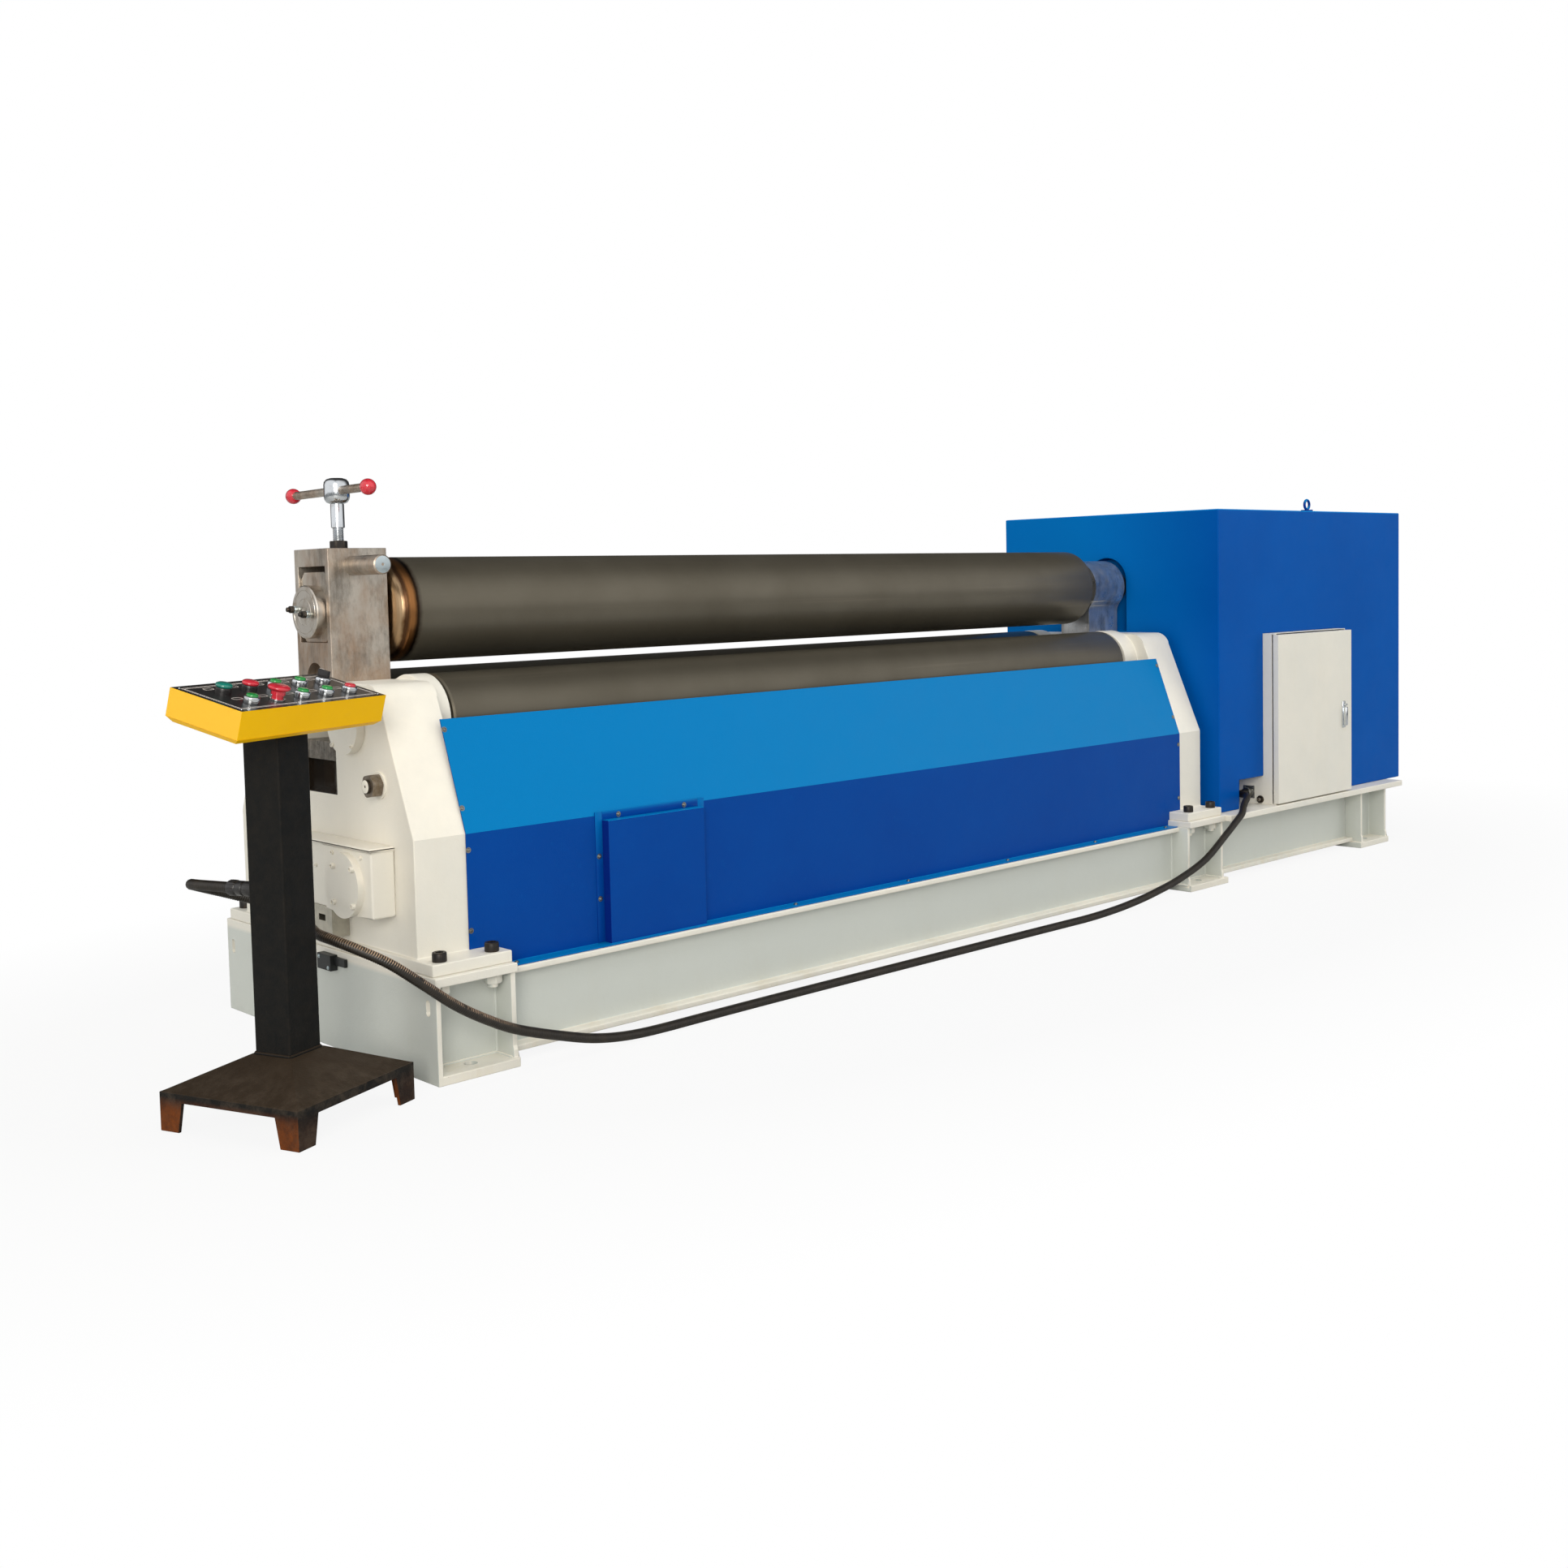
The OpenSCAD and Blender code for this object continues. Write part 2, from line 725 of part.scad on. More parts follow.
module drop_end_block() {
    color(steel) difference() {
        union() {
            box([0, -block_w / 2, block_z0], [block_x1, block_w / 2, block_top_z]);
            rod_y(-block_w / 2, block_w / 2, 2 * eye_r, tip_axis_x, tip_axis_z);
        }
        box([-eps, -window_w / 2, window_z0], [block_x1 + eps, window_w / 2, window_z0 + window_h]);
        rod_x(-eps, block_x1 + eps, 2 * notch_r, 0, notch_top_z - notch_r);
        box([-eps, -notch_r, tip_axis_z - eye_r - eps], [block_x1 + eps, notch_r, notch_top_z - notch_r]);
        rod_y(-block_w, block_w, tip_pin_d + 2 * run_fit, tip_axis_x, tip_axis_z);
        translate([screw_x, 0, window_z0 + window_h - eps])
            cylinder(h = block_top_z - window_z0 - window_h + 2 * eps, d = screw_d + 2 * run_fit);
    }
}

slide_gap = 12;

// Bearing slide in the block's window, bored to the tapered journal
module bearing_slide() {
    t = taper_journal_d / 2 + fit;
    corner = 16;
    w = window_w / 2 - 0.5;
    z0 = window_z0;
    z1 = window_z0 + window_h - slide_gap;
    bore_x = taper_tip_x - 4;
    color(steel) difference() {
        along_x(bearing_x0, block_x1)
            polygon([[-w + corner, z0], [w - corner, z0], [w, z0 + corner], [w, z1 - corner],
                     [w - corner, z1], [-w + corner, z1], [-w, z1 - corner], [-w, z0 + corner]]);
        translate([bore_x, 0, upper_axis_z]) rotate([0, 90, 0])
            cylinder(h = block_x1 - bore_x + eps,
                     r1 = t - taper_slope * (left_in_x - bore_x),
                     r2 = t + taper_slope * (block_x1 + eps - left_in_x));
    }
}

bearing_x0 = 6;

module bearing_cap() {
    face_x = -20;
    face_d = 118;
    color(steel) rod_x(face_x, bearing_x0, face_d, 0, upper_axis_z);
}

module pull_bar() {
    bar_x = 60;
    bar_z = upper_axis_z + 100;
    color(steel) rod_y(-block_w / 2 - pull_bar_l, -block_w / 2, pull_bar_d, bar_x, bar_z);
}

module lock_nut() {
    nut_h = 18;
    across = 40;
    color(black) translate([screw_x, 0, block_top_z]) difference() {
        cylinder(h = nut_h, d = across, $fn = 6);
        translate([0, 0, -eps]) cylinder(h = nut_h + 2 * eps, d = screw_d + 2 * run_fit);
    }
}

handle_z = 1242;
handle_turn = -3.4;

module clamp_screw() {
    z0 = window_z0 + window_h - slide_gap + fit;
    shank_z = block_top_z + 47;
    shank_d = 30;
    hub_d = 57;
    color(chrome) translate([screw_x, 0, 0]) difference() {
        union() {
            translate([0, 0, z0]) cylinder(h = shank_z - z0, d = screw_d);
            translate([0, 0, shank_z]) cylinder(h = handle_z - shank_z, d = shank_d);
            translate([0, 0, handle_z]) sphere(d = hub_d);
        }
        translate([0, 0, handle_z]) rotate([90, 0, handle_turn])
            cylinder(h = hub_d + 2 * eps, d = t_bar_d + 2 * run_fit, center = true);
    }
}

bar_rear = 231;

// Frame on the bar, Z to the operator
module at_bar() {
    translate([screw_x, 0, handle_z]) rotate([90, 0, handle_turn]) translate([0, 0, -bar_rear]) children();
}

module cross_bar() {
    color(steel) at_bar() cylinder(h = t_bar_l, d = t_bar_d);
}

// Ball knobs, bored to their middle for the bar's ends
module ball_knobs() {
    color(red) at_bar() difference() {
        for (z = [0, t_bar_l]) translate([0, 0, z]) sphere(d = ball_d);
        cylinder(h = t_bar_l, d = t_bar_d);
    }
}

// ---- Control pedestal

pedestal_at = [-304, -409];
pedestal_turn = 21.4;
box_at = [-287.5, -417.3, 827.3];
box_turn = 23.5;
box_tilt = 15;

module at_pedestal() {
    translate([pedestal_at[0], pedestal_at[1], 0]) rotate([0, 0, pedestal_turn]) children();
}

// Frame on the panel's face: X to the right, Y up the slope, Z out of the panel
module at_panel() {
    translate(box_at) rotate([0, 0, box_turn]) rotate([box_tilt, 0, 0]) children();
}

rim_z = 58;
rim_t = 18;
post_z0 = 128;

module pedestal_base() {
    h = pedestal_base_w / 2;
    p = post_w / 2 + 6;
    color(black) at_pedestal() {
        translate([-h, -h, rim_z]) cube([2 * h, 2 * h, rim_t]);
        frustum([h, h], [p, p], rim_z + rim_t - eps, post_z0);
        for (a = [0, 90, 180, 270]) rotate([0, 0, a]) translate([h, h, 0]) {
            leg();
            mirror([1, -1, 0]) leg();
        }
    }
}

// One side of the angle under a corner of the base, narrower at the floor
module leg() {
    t = 8;
    floor_w = 45;
    top_w = 56;
    rotate([90, 0, 0]) linear_extrude(t)
        polygon([[-floor_w, 0], [0, 0], [0, rim_z + eps], [-top_w, rim_z + eps]]);
}

// Square post, cut off along the underside of the control box
module pedestal_post() {
    cut = 400;
    color(black) difference() {
        at_pedestal() translate([-post_w / 2, -post_w / 2, post_z0])
            cube([post_w, post_w, box_at[2] - post_z0]);
        at_panel() translate([-cut, -cut, -box_h]) cube([2 * cut, 2 * cut, cut]);
    }
}

box_edge = 8;                  // of the panel from the box's sides
panel_t = 3;
pocket = 18;                   // depth of the button pockets

// Box with a sunk panel and a narrower bottom edge
module control_box() {
    w = box_w / 2;
    d = box_d / 2;
    lip = 10;
    e = box_edge;
    color(yellow) at_panel() difference() {
        union() {
            translate([-w, -d, lip - box_h]) cube([box_w, box_d, box_h - lip]);
            frustum([w - lip, d - lip], [w, d], -box_h, lip - box_h + 0.01);
        }
        translate([e - w, e - d, -panel_t]) cube([box_w - 2 * e, box_d - 2 * e, panel_t + eps]);
        for (p = button_places) translate([p[0], p[1], -pocket]) cylinder(h = pocket, d = button_bore + 2);
    }
}

// Panel with the black sleeves of the two lamps
module control_panel() {
    w = box_w / 2 - box_edge;
    d = box_d / 2 - box_edge;
    sleeve_h = 11;
    color(black) at_panel() difference() {
        union() {
            translate([-w, -d, -panel_t]) cube([2 * w, 2 * d, panel_t]);
            for (i = [0, 1]) translate([button_places[i][0], button_places[i][1], -eps])
                cylinder(h = sleeve_h + eps, d = ring_d);
        }
        for (p = button_places) translate([p[0], p[1], -panel_t - eps])
            cylinder(h = panel_t + sleeve_h + 2 * eps, d = button_bore);
    }
}

button_bore = 22;
columns = [-143, -71.5, 0, 71.5, 143];
back_row = 22;
front_row = -45;
button_places = concat([for (c = columns) [c, back_row]], [for (c = columns) [c, front_row]]);
ring_d = 30;
ring_h = 14;
stop_place = 6;
selector_place = 4;

module button_rings() {
    color(chrome) for (i = [2:len(button_places) - 1]) at_button(i) difference() {
        cylinder(h = i == stop_place ? 4 : ring_h, d = ring_d);
        translate([0, 0, -eps]) cylinder(h = ring_h + 2 * eps, d = button_bore);
    }
}

module at_button(i) {
    at_panel() translate([button_places[i][0], button_places[i][1], 0]) children();
}

// Round cap in its ring, with a bevelled edge
module cap(i, top) {
    d = button_bore - 2 * run_fit;
    bevel = 2;
    at_button(i) {
        cylinder(h = top - bevel, d = d);
        translate([0, 0, top - bevel]) cylinder(h = bevel, d1 = d, d2 = d - 2 * bevel);
    }
}

lamp_h = 26;
button_h = 19;

module lamp_teal() {
    color("teal") cap(0, lamp_h);
}

module lamp_red() {
    color(red) cap(1, lamp_h);
}

module button_1() {
    color(green) cap(2, button_h);
}

module button_2() {
    color(green) cap(3, button_h);
}

module button_3() {
    color(green) cap(5, button_h);
}

module button_4() {
    color(green) cap(7, button_h);
}

module button_5() {
    color(green) cap(8, button_h);
}

module button_red() {
    color(red) cap(9, button_h);
}

// Mushroom head on a red neck
module stop_button() {
    head_d = 38;
    under_d = 30;
    top_d = 28;
    head_z = 16;
    rim_z0 = 22;
    rim_z1 = 27;
    head_h = 31;
    color(red) at_button(stop_place) {
        cylinder(h = head_z + eps, d = button_bore - 2 * run_fit);
        translate([0, 0, head_z]) cylinder(h = rim_z0 - head_z, d1 = under_d, d2 = head_d);
        translate([0, 0, rim_z0]) cylinder(h = rim_z1 - rim_z0, d = head_d);
        translate([0, 0, rim_z1]) cylinder(h = head_h - rim_z1, d1 = head_d, d2 = top_d);
    }
}

module selector() {
    neck_h = 16;
    grip = [8, 26, 13];
    color(black) at_button(selector_place) {
        cylinder(h = neck_h, d = button_bore - 2 * run_fit);
        translate([-grip[0] / 2, -grip[1] / 2, neck_h - eps]) cube(grip);
    }
}

// Cable gland along Z: nut, body and tip nut
module gland(d) {
    cylinder(h = gland_nut, d = d + 6, $fn = 6);
    translate([0, 0, gland_nut]) cylinder(h = gland_body, d = d);
    translate([0, 0, gland_nut + gland_body]) cylinder(h = gland_tip, d = d + 2);
}

gland_nut = 12;
gland_body = 44;
gland_tip = 18;
gland_z = 443;
gland_x = -13;
post_side = [-sin(pedestal_turn), cos(pedestal_turn), 0];
post_along = [cos(pedestal_turn), sin(pedestal_turn), 0];
post_tip = [pedestal_at[0], pedestal_at[1], gland_z] + gland_x * post_along
    + (post_w / 2 + gland_nut + gland_body + gland_tip) * post_side;

module post_gland() {
    gland_d = 30;
    color(black) at_pedestal() translate([gland_x, post_w / 2, gland_z]) rotate([-90, 0, 0]) gland(gland_d);
}

elbow_nut = 8;
elbow_l = 24;
elbow_in = 112;      // from the cabinet's front
elbow_up = 39;       // above the base
cabinet_gland_at = [cabinet_x0, -(cabinet_front - elbow_in), base_h + elbow_up];

module cabinet_gland() {
    nut_d = 40;
    body_d = 34;
    color(black) translate(cabinet_gland_at) rotate([0, -90, 0]) {
        cylinder(h = elbow_nut, d = nut_d, $fn = 6);
        translate([0, 0, elbow_nut]) cylinder(h = elbow_l - elbow_nut, d = body_d);
    }
}

// Route of the cable, from the cabinet's gland to the post's gland
middle = [
    [3202, -383, 263], [3182.3, -388.6, 264], [3163.1, -399.2, 266], [3147.1, -414.2, 268],
    [3133.6, -431.5, 270], [3120, -449, 271], [3103.5, -466, 271], [3086.7, -477.9, 269],
    [3070.5, -485, 265], [3050, -492, 258], [3028, -499.5, 247], [2995, -513, 228],
    [2950, -517, 205], [2900, -517, 176], [2780, -513, 107], [2640, -509, 64], [2520, -506, 41],
    [2410, -504, 26], [2290, -502, 16], [2140, -500, 11], [1850, -497, 11], [1500, -494, 11],
    [1150, -492, 11], [850, -492, 11], [600, -496, 11], [470, -503, 16], [370, -509, 30],
    [280, -514, 54], [160, -518, 93], [80, -521, 131], [5, -522, 176], [-68, -520, 232],
    [-130, -505, 281], [-178, -470, 312], [-207, -425, 330], [-216, -375, 338], [-201, -309, 347],
    [-183, -248, 358], [-191, -181, 368], [-231, -130, 379], [-279, -109, 397], [-327, -115, 415],
    [-363, -141, 429], [-383, -181, 438], [-386, -225, 442]
];
end_gap = 0.3;       // between the cable's ends and the glands
straight = 16;
tip_straight = 20;
route = concat([cabinet_gland_at - [elbow_l + end_gap, 0, 0], cabinet_gland_at - [elbow_l + straight, 0, 0]],
               middle,
               [for (l = [2 * tip_straight, tip_straight, end_gap]) post_tip + l * post_side]);
sides = 10;

function blend(a, b, c, d, t) =
    0.5 * (2 * b + (c - a) * t + (2 * a - 5 * b + 4 * c - d) * t * t + (3 * b - a - 3 * c + d) * t * t * t);

function smooth(p, steps) =
    let (n = len(p))
    concat([for (i = [0:n - 2]) for (k = [0:steps - 1])
                blend(p[max(i - 1, 0)], p[i], p[i + 1], p[min(i + 2, n - 1)], k / steps)], [p[n - 1]]);

function unit(v) = v / norm(v);

// A round tube along the points of a path
module tube(path, d) {
    n = len(path);
    dirs = [for (i = [0:n - 1]) unit(path[min(i + 1, n - 1)] - path[max(i - 1, 0)])];
    rings = [for (i = [0:n - 1])
        let (u = unit(cross(dirs[i], [0, 0, 1])), v = cross(u, dirs[i]))
        for (k = [0:sides - 1]) path[i] + d / 2 * (cos(360 * k / sides) * u + sin(360 * k / sides) * v)];
    walls = [for (i = [0:n - 2]) for (k = [0:sides - 1])
        let (a = i * sides, b = a + sides, l = (k + 1) % sides) [a + k, a + l, b + l, b + k]];
    first = [for (k = [sides - 1:-1:0]) k];
    last = [for (k = [0:sides - 1]) (n - 1) * sides + k];
    polyhedron(points = rings, faces = concat(walls, [first, last]));
}

module cable() {
    color(black) tube(smooth(route, 2), cable_d);
}

foot_left();
foot_right();
end_foot();
platform();
beam_front();
beam_rear();
stand_left();
stand_right();
tie_rods();
tie_nuts();
roll_caps();
lift_gear_left();
drain_cup();
limit_switch();
cover_front();
cover_rear();
gear_housing();
lifting_eye();
cabinet();
cabinet_door();
door_handle();
lower_roll_front();
lower_roll_rear();
upper_roll();
lift_slide();
bearing_head_right();
drop_end_block();
bearing_slide();
bearing_cap();
pull_bar();
lock_nut();
clamp_screw();
cross_bar();
ball_knobs();
pedestal_base();
pedestal_post();
control_box();
control_panel();
button_rings();
lamp_teal();
lamp_red();
button_1();
button_2();
button_3();
button_4();
button_5();
button_red();
stop_button();
selector();
post_gland();
cabinet_gland();
cable();
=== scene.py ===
import bpy, bmesh, json, math, random
from mathutils import Matrix, Vector
from mathutils.bvhtree import BVHTree


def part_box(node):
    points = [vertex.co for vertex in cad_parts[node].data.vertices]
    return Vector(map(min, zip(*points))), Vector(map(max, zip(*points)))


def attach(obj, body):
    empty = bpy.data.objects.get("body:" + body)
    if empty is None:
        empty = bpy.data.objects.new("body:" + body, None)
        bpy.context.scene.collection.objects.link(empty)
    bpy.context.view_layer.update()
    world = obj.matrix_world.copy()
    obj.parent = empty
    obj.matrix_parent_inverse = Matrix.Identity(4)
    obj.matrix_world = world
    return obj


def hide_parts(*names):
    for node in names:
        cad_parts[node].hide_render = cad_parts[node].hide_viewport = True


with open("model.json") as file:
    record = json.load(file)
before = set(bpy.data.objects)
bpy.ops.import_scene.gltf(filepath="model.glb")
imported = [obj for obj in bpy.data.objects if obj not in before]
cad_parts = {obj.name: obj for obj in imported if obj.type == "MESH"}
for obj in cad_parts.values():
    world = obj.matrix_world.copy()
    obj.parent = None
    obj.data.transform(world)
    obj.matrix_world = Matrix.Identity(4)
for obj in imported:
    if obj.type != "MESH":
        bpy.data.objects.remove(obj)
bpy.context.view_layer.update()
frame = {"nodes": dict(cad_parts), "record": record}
nodes = frame["nodes"]
slotOf = {p["node"]: p["material_slot"] for p in frame["record"]["subparts"]}
bodyOf = {n: b for b, members in frame["record"]["behaviour"]["bodies"].items() for n in members}
scene = bpy.context.scene
scene.view_settings.view_transform = "Standard"
random.seed(7)
mm = 0.001  # pieces are sized in millimetres; the cable, camera and lamps are in metres


# Camera, a metre above the floor, left of the machine's front
view = dict(
    place=(-1.779, -3.382, 1.015), yaw=43.05, pitch=-3.54, roll=-1.33, lens=38.05, sensor=36,
    shiftX=0.0098, shiftY=-0.0632, near=0.05, far=200)


def placeCamera(v):
    yaw, pitch, roll = (math.radians(v[k]) for k in ("yaw", "pitch", "roll"))
    ahead = Vector((math.sin(yaw) * math.cos(pitch), math.cos(yaw) * math.cos(pitch), math.sin(pitch)))
    side = Vector((math.cos(yaw), -math.sin(yaw), 0))
    top = side.cross(ahead)
    right = side * math.cos(roll) + top * math.sin(roll)
    up = top * math.cos(roll) - side * math.sin(roll)
    data = bpy.data.cameras.new("view")
    data.sensor_width, data.lens = v["sensor"], v["lens"]
    data.shift_x, data.shift_y = v["shiftX"], v["shiftY"]
    data.clip_start, data.clip_end = v["near"], v["far"]
    camera = bpy.data.objects.new("view", data)
    turn = Matrix((right, up, -ahead)).transposed().to_4x4()
    camera.matrix_world = Matrix.Translation(v["place"]) @ turn
    scene.collection.objects.link(camera)
    scene.camera = camera


placeCamera(view)
print("camera placed")


# Shader building blocks
def newPaint(name):
    material = bpy.data.materials.new(name)
    material.use_nodes = True
    tree = material.node_tree
    return material, tree, tree.nodes["Principled BSDF"]


def put(tree, kind, inputs=None, **settings):
    node = tree.nodes.new("ShaderNode" + kind)
    for key, value in settings.items():
        setattr(node, key, value)
    for key, value in (inputs or {}).items():
        if isinstance(value, bpy.types.NodeSocket):
            tree.links.new(value, node.inputs[key])
        else:
            node.inputs[key].default_value = value
    return node


def rgb(r, g, b):
    def channel(c):
        c = c / 255
        return c / 12.92 if c <= 0.04045 else ((c + 0.055) / 1.055) ** 2.4
    return (channel(r), channel(g), channel(b), 1)


def place(tree, stretch=(1, 1, 1)):
    where = put(tree, "TexCoord")
    return put(tree, "Mapping", {"Vector": where.outputs["Object"], "Scale": stretch}).outputs["Vector"]


def placeXYZ(tree):
    return put(tree, "SeparateXYZ", {"Vector": place(tree)}).outputs


def normalXYZ(tree):
    return put(tree, "SeparateXYZ", {"Vector": put(tree, "NewGeometry").outputs["Normal"]}).outputs


def maths(tree, operation, a, b=None):
    inputs = {0: a} if b is None else {0: a, 1: b}
    return put(tree, "Math", inputs, operation=operation).outputs[0]


def times(tree, a, b):
    return maths(tree, "MULTIPLY", a, b)


def noise(tree, scale, detail=4, rough=0.55, stretch=(1, 1, 1)):
    inputs = {"Vector": place(tree, stretch), "Scale": scale, "Detail": detail, "Roughness": rough}
    return put(tree, "TexNoise", inputs).outputs["Fac"]


def spread(tree, value, low, high, a=0.0, b=1.0):
    inputs = {"Value": value, "From Min": low, "From Max": high, "To Min": a, "To Max": b}
    return put(tree, "MapRange", inputs).outputs["Result"]


# Noise between low and high, spread out from a to b
def mottle(tree, scale, detail, low, high, a=0.0, b=1.0, rough=0.55, stretch=(1, 1, 1)):
    return spread(tree, noise(tree, scale, detail, rough, stretch), low, high, a, b)


def blendColours(tree, amount, a, b):
    node = put(tree, "Mix", data_type="RGBA")
    tree.links.new(amount, node.inputs[0])
    for socket, value in ((node.inputs[6], a), (node.inputs[7], b)):
        if isinstance(value, bpy.types.NodeSocket):
            tree.links.new(value, socket)
        else:
            socket.default_value = value
    return node.outputs[2]


# Colours laid over a ground one after another, each by its own amount
def layered(tree, ground, *layers):
    for amount, colour in layers:
        ground = blendColours(tree, amount, ground, colour)
    return ground


def relief(tree, height, depth, before=None):
    inputs = {"Height": height, "Distance": depth, "Strength": 1.0}
    if before is not None:
        inputs["Normal"] = before
    return put(tree, "Bump", inputs).outputs["Normal"]


# Worn line on convex edges, broken up by noise
def wornEdge(tree, low, high, amount):
    edge = spread(tree, put(tree, "NewGeometry").outputs["Pointiness"], low, high)
    return times(tree, edge, mottle(tree, 40, 5, 0.35, 0.65, 0, amount, 0.7))


def wire(tree, shader, tone, rough, normal=None, metal=None):
    links = {"Base Color": tone, "Roughness": rough, "Normal": normal, "Metallic": metal}
    for key, value in links.items():
        if value is not None:
            tree.links.new(value, shader.inputs[key])


# Sprayed enamel with faint orange peel and soft patches of dust. Faces that look up get a painted top light,
# a lighter tone, and faces that look left take their own tone, painted light on some finishes and painted
# shade on others, which fades in towards the rear where a range is given.
def enamel(name, clean, deep, dusty, roughness=0.34, lit=None, left=None, fade=None, specular=0.09):
    material, tree, shader = newPaint(name)
    normal = normalXYZ(tree)
    tone = blendColours(tree, mottle(tree, 2.2, 5, 0.35, 0.75, rough=0.6), clean, deep)
    # painted top light: faces that look up are blended towards the lighter lit tone
    if lit:
        tone = blendColours(tree, spread(tree, normal["Z"], 0.03, 0.28), tone, lit)
    # painted side light or shade on faces that look left, as the finish gives it; with a fade range it is
    # weaker towards the front, a painted shadow there
    if left:
        amount = spread(tree, normal["X"], -0.6, -0.95)
        if fade:
            amount = times(tree, amount, spread(tree, placeXYZ(tree)["Y"], *fade))
        tone = blendColours(tree, amount, tone, left)
    specks = mottle(tree, 55, 5, 0.6, 0.85, 0, 0.2, 0.7)
    tone = layered(tree, tone, (specks, dusty), (wornEdge(tree, 0.54, 0.64, 0.12), dusty))
    rough = mottle(tree, 14, 5, 0.3, 0.7, roughness - 0.05, roughness + 0.08)
    peel = relief(tree, noise(tree, 420, 2), 0.00025)
    wire(tree, shader, tone, rough, relief(tree, noise(tree, 7, 3), 0.00125, peel))
    shader.inputs["Specular IOR Level"].default_value = specular
    return material


# Cream enamel brushed on thick, with grey dust, yellowed runs and small chips low on the base. Faces that
# look up get a painted top light, and the base's recessed webs and end plates get a painted grey shade
def creamEnamel():
    material, tree, shader = newPaint("creamEnamel")
    spot, normal = placeXYZ(tree), normalXYZ(tree)
    low = spread(tree, spot["Z"], 0.0, 0.26, 1, 0.15)
    # Masks of the base's recessed webs and of its end plates below the top plate, where a painted shade goes
    inward = spread(tree, maths(tree, "ABSOLUTE", spot["Y"]), 0.42, 0.412)
    endOn = spread(tree, maths(tree, "ABSOLUTE", normal["X"]), 0.5, 0.8)
    web = times(tree, maths(tree, "MAXIMUM", inward, endOn), spread(tree, spot["Z"], 0.21, 0.2))
    tone = layered(
        tree, rgb(234, 229, 217),
        # painted top light on faces that look up
        (spread(tree, normal["Z"], 0.03, 0.28), rgb(246, 240, 227)),
        (mottle(tree, 2.6, 6, 0.38, 0.72, 0, 0.8, 0.62), rgb(222, 220, 211)),
        (times(tree, mottle(tree, 9, 6, 0.52, 0.8, 0, 0.6, 0.7, (1, 1, 0.22)), low), rgb(214, 198, 166)),
        (times(tree, mottle(tree, 110, 4, 0.66, 0.76, 0, 0.7, 0.7), low), rgb(168, 144, 108)),
        # painted grey shade on the recessed webs and end plates
        (times(tree, web, spread(tree, normal["Z"], 0.8, 0.4, 0, 0.85)), rgb(198, 203, 198)),
        (wornEdge(tree, 0.55, 0.66, 0.12), rgb(196, 186, 168)))
    brushed = relief(tree, noise(tree, 24, 4), 0.0014, relief(tree, noise(tree, 380, 2), 0.0003))
    wire(tree, shader, tone, mottle(tree, 18, 4, 0.3, 0.7, 0.36, 0.52), brushed)
    shader.inputs["Specular IOR Level"].default_value = 0.3
    return material


# Bare milled steel: upright scratches, tarnish, dark smears and pale worn edges
def bareSteel(name, pale, tarnish, amount=0.75, roughness=0.36):
    material, tree, shader = newPaint(name)
    lines = noise(tree, 150, 3, 0.6, (1, 1, 0.15))
    tone = layered(
        tree, pale,
        (mottle(tree, 8, 6, 0.42, 0.58, 0, amount, 0.62, (1, 1, 0.5)), tarnish),
        (mottle(tree, 12, 8, 0.46, 0.62, 0, 0.8, 0.74, (1, 1, 0.4)), rgb(98, 91, 82)),
        (spread(tree, lines, 0.35, 0.8, 0, 0.3), rgb(206, 200, 192)),
        (wornEdge(tree, 0.52, 0.58, 0.4), rgb(196, 188, 176)))
    rough = mottle(tree, 26, 5, 0.3, 0.7, roughness - 0.08, roughness + 0.2)
    wire(tree, shader, tone, rough, relief(tree, lines, 0.0004))
    shader.inputs["Metallic"].default_value = 0.85
    return material


# Roll steel under an oil film: turning marks round it and rubbed lines along it.
# The upper roll's left shoulder has a bronze heat tint with painted highlight and dark reflection bands on
# its curve, which start and end at these places.
shoulderTintAndSheen = dict(
    edge=(0.203, 0.215), ground=rgb(96, 70, 46),
    # the pale and gold bands are painted highlights and the dark ones painted dark reflection, over the
    # bronze ground
    tintAndSheenBands=[(0.154, 0.16, rgb(182, 154, 120)), (0.167, 0.173, rgb(80, 56, 38)),
           (0.178, 0.185, rgb(158, 108, 64)), (0.194, 0.203, rgb(50, 37, 27))])


def rollSteel(name, tintAndSheen=None):
    material, tree, shader = newPaint(name)
    dull = mottle(tree, 5, 5, 0.35, 0.7)
    rubbed = mottle(tree, 42, 4, 0.6, 0.78, 0, 0.35, 0.6, (0.02, 1, 1))
    tone = layered(tree, rgb(103, 97, 84), (dull, rgb(96, 90, 77)), (rubbed, rgb(127, 118, 104)))
    metal = spread(tree, dull, 0, 1, 0.55, 0.6)
    gloss = spread(tree, dull, 0, 1, 0.32, 0.38)
    if tintAndSheen:
        length = placeXYZ(tree)["X"]
        ragged = maths(tree, "ADD", length, times(tree, noise(tree, 24, 4), 0.012))
        shoulder = spread(tree, ragged, *tintAndSheen["edge"], 1, 0)
        ripple = maths(tree, "ADD", length, times(tree, noise(tree, 16, 4, 0.6, (1, 0.6, 0.6)), 0.016))
        # painted highlight and reflection bands laid over the bronze tint of the shoulder
        tintAndSheenBands = [(spread(tree, ripple, start, end), colour) for start, end, colour in tintAndSheen["tintAndSheenBands"]]
        tone = blendColours(tree, shoulder, tone, layered(tree, tintAndSheen["ground"], *tintAndSheenBands))
        metal = maths(tree, "MAXIMUM", metal, shoulder)
        gloss = maths(tree, "SUBTRACT", gloss, times(tree, shoulder, 0.03))
    turning = relief(tree, noise(tree, 260, 2, 0.5, (1, 0.02, 0.02)), 0.0001)
    wire(tree, shader, tone, gloss, turning, metal)
    return material


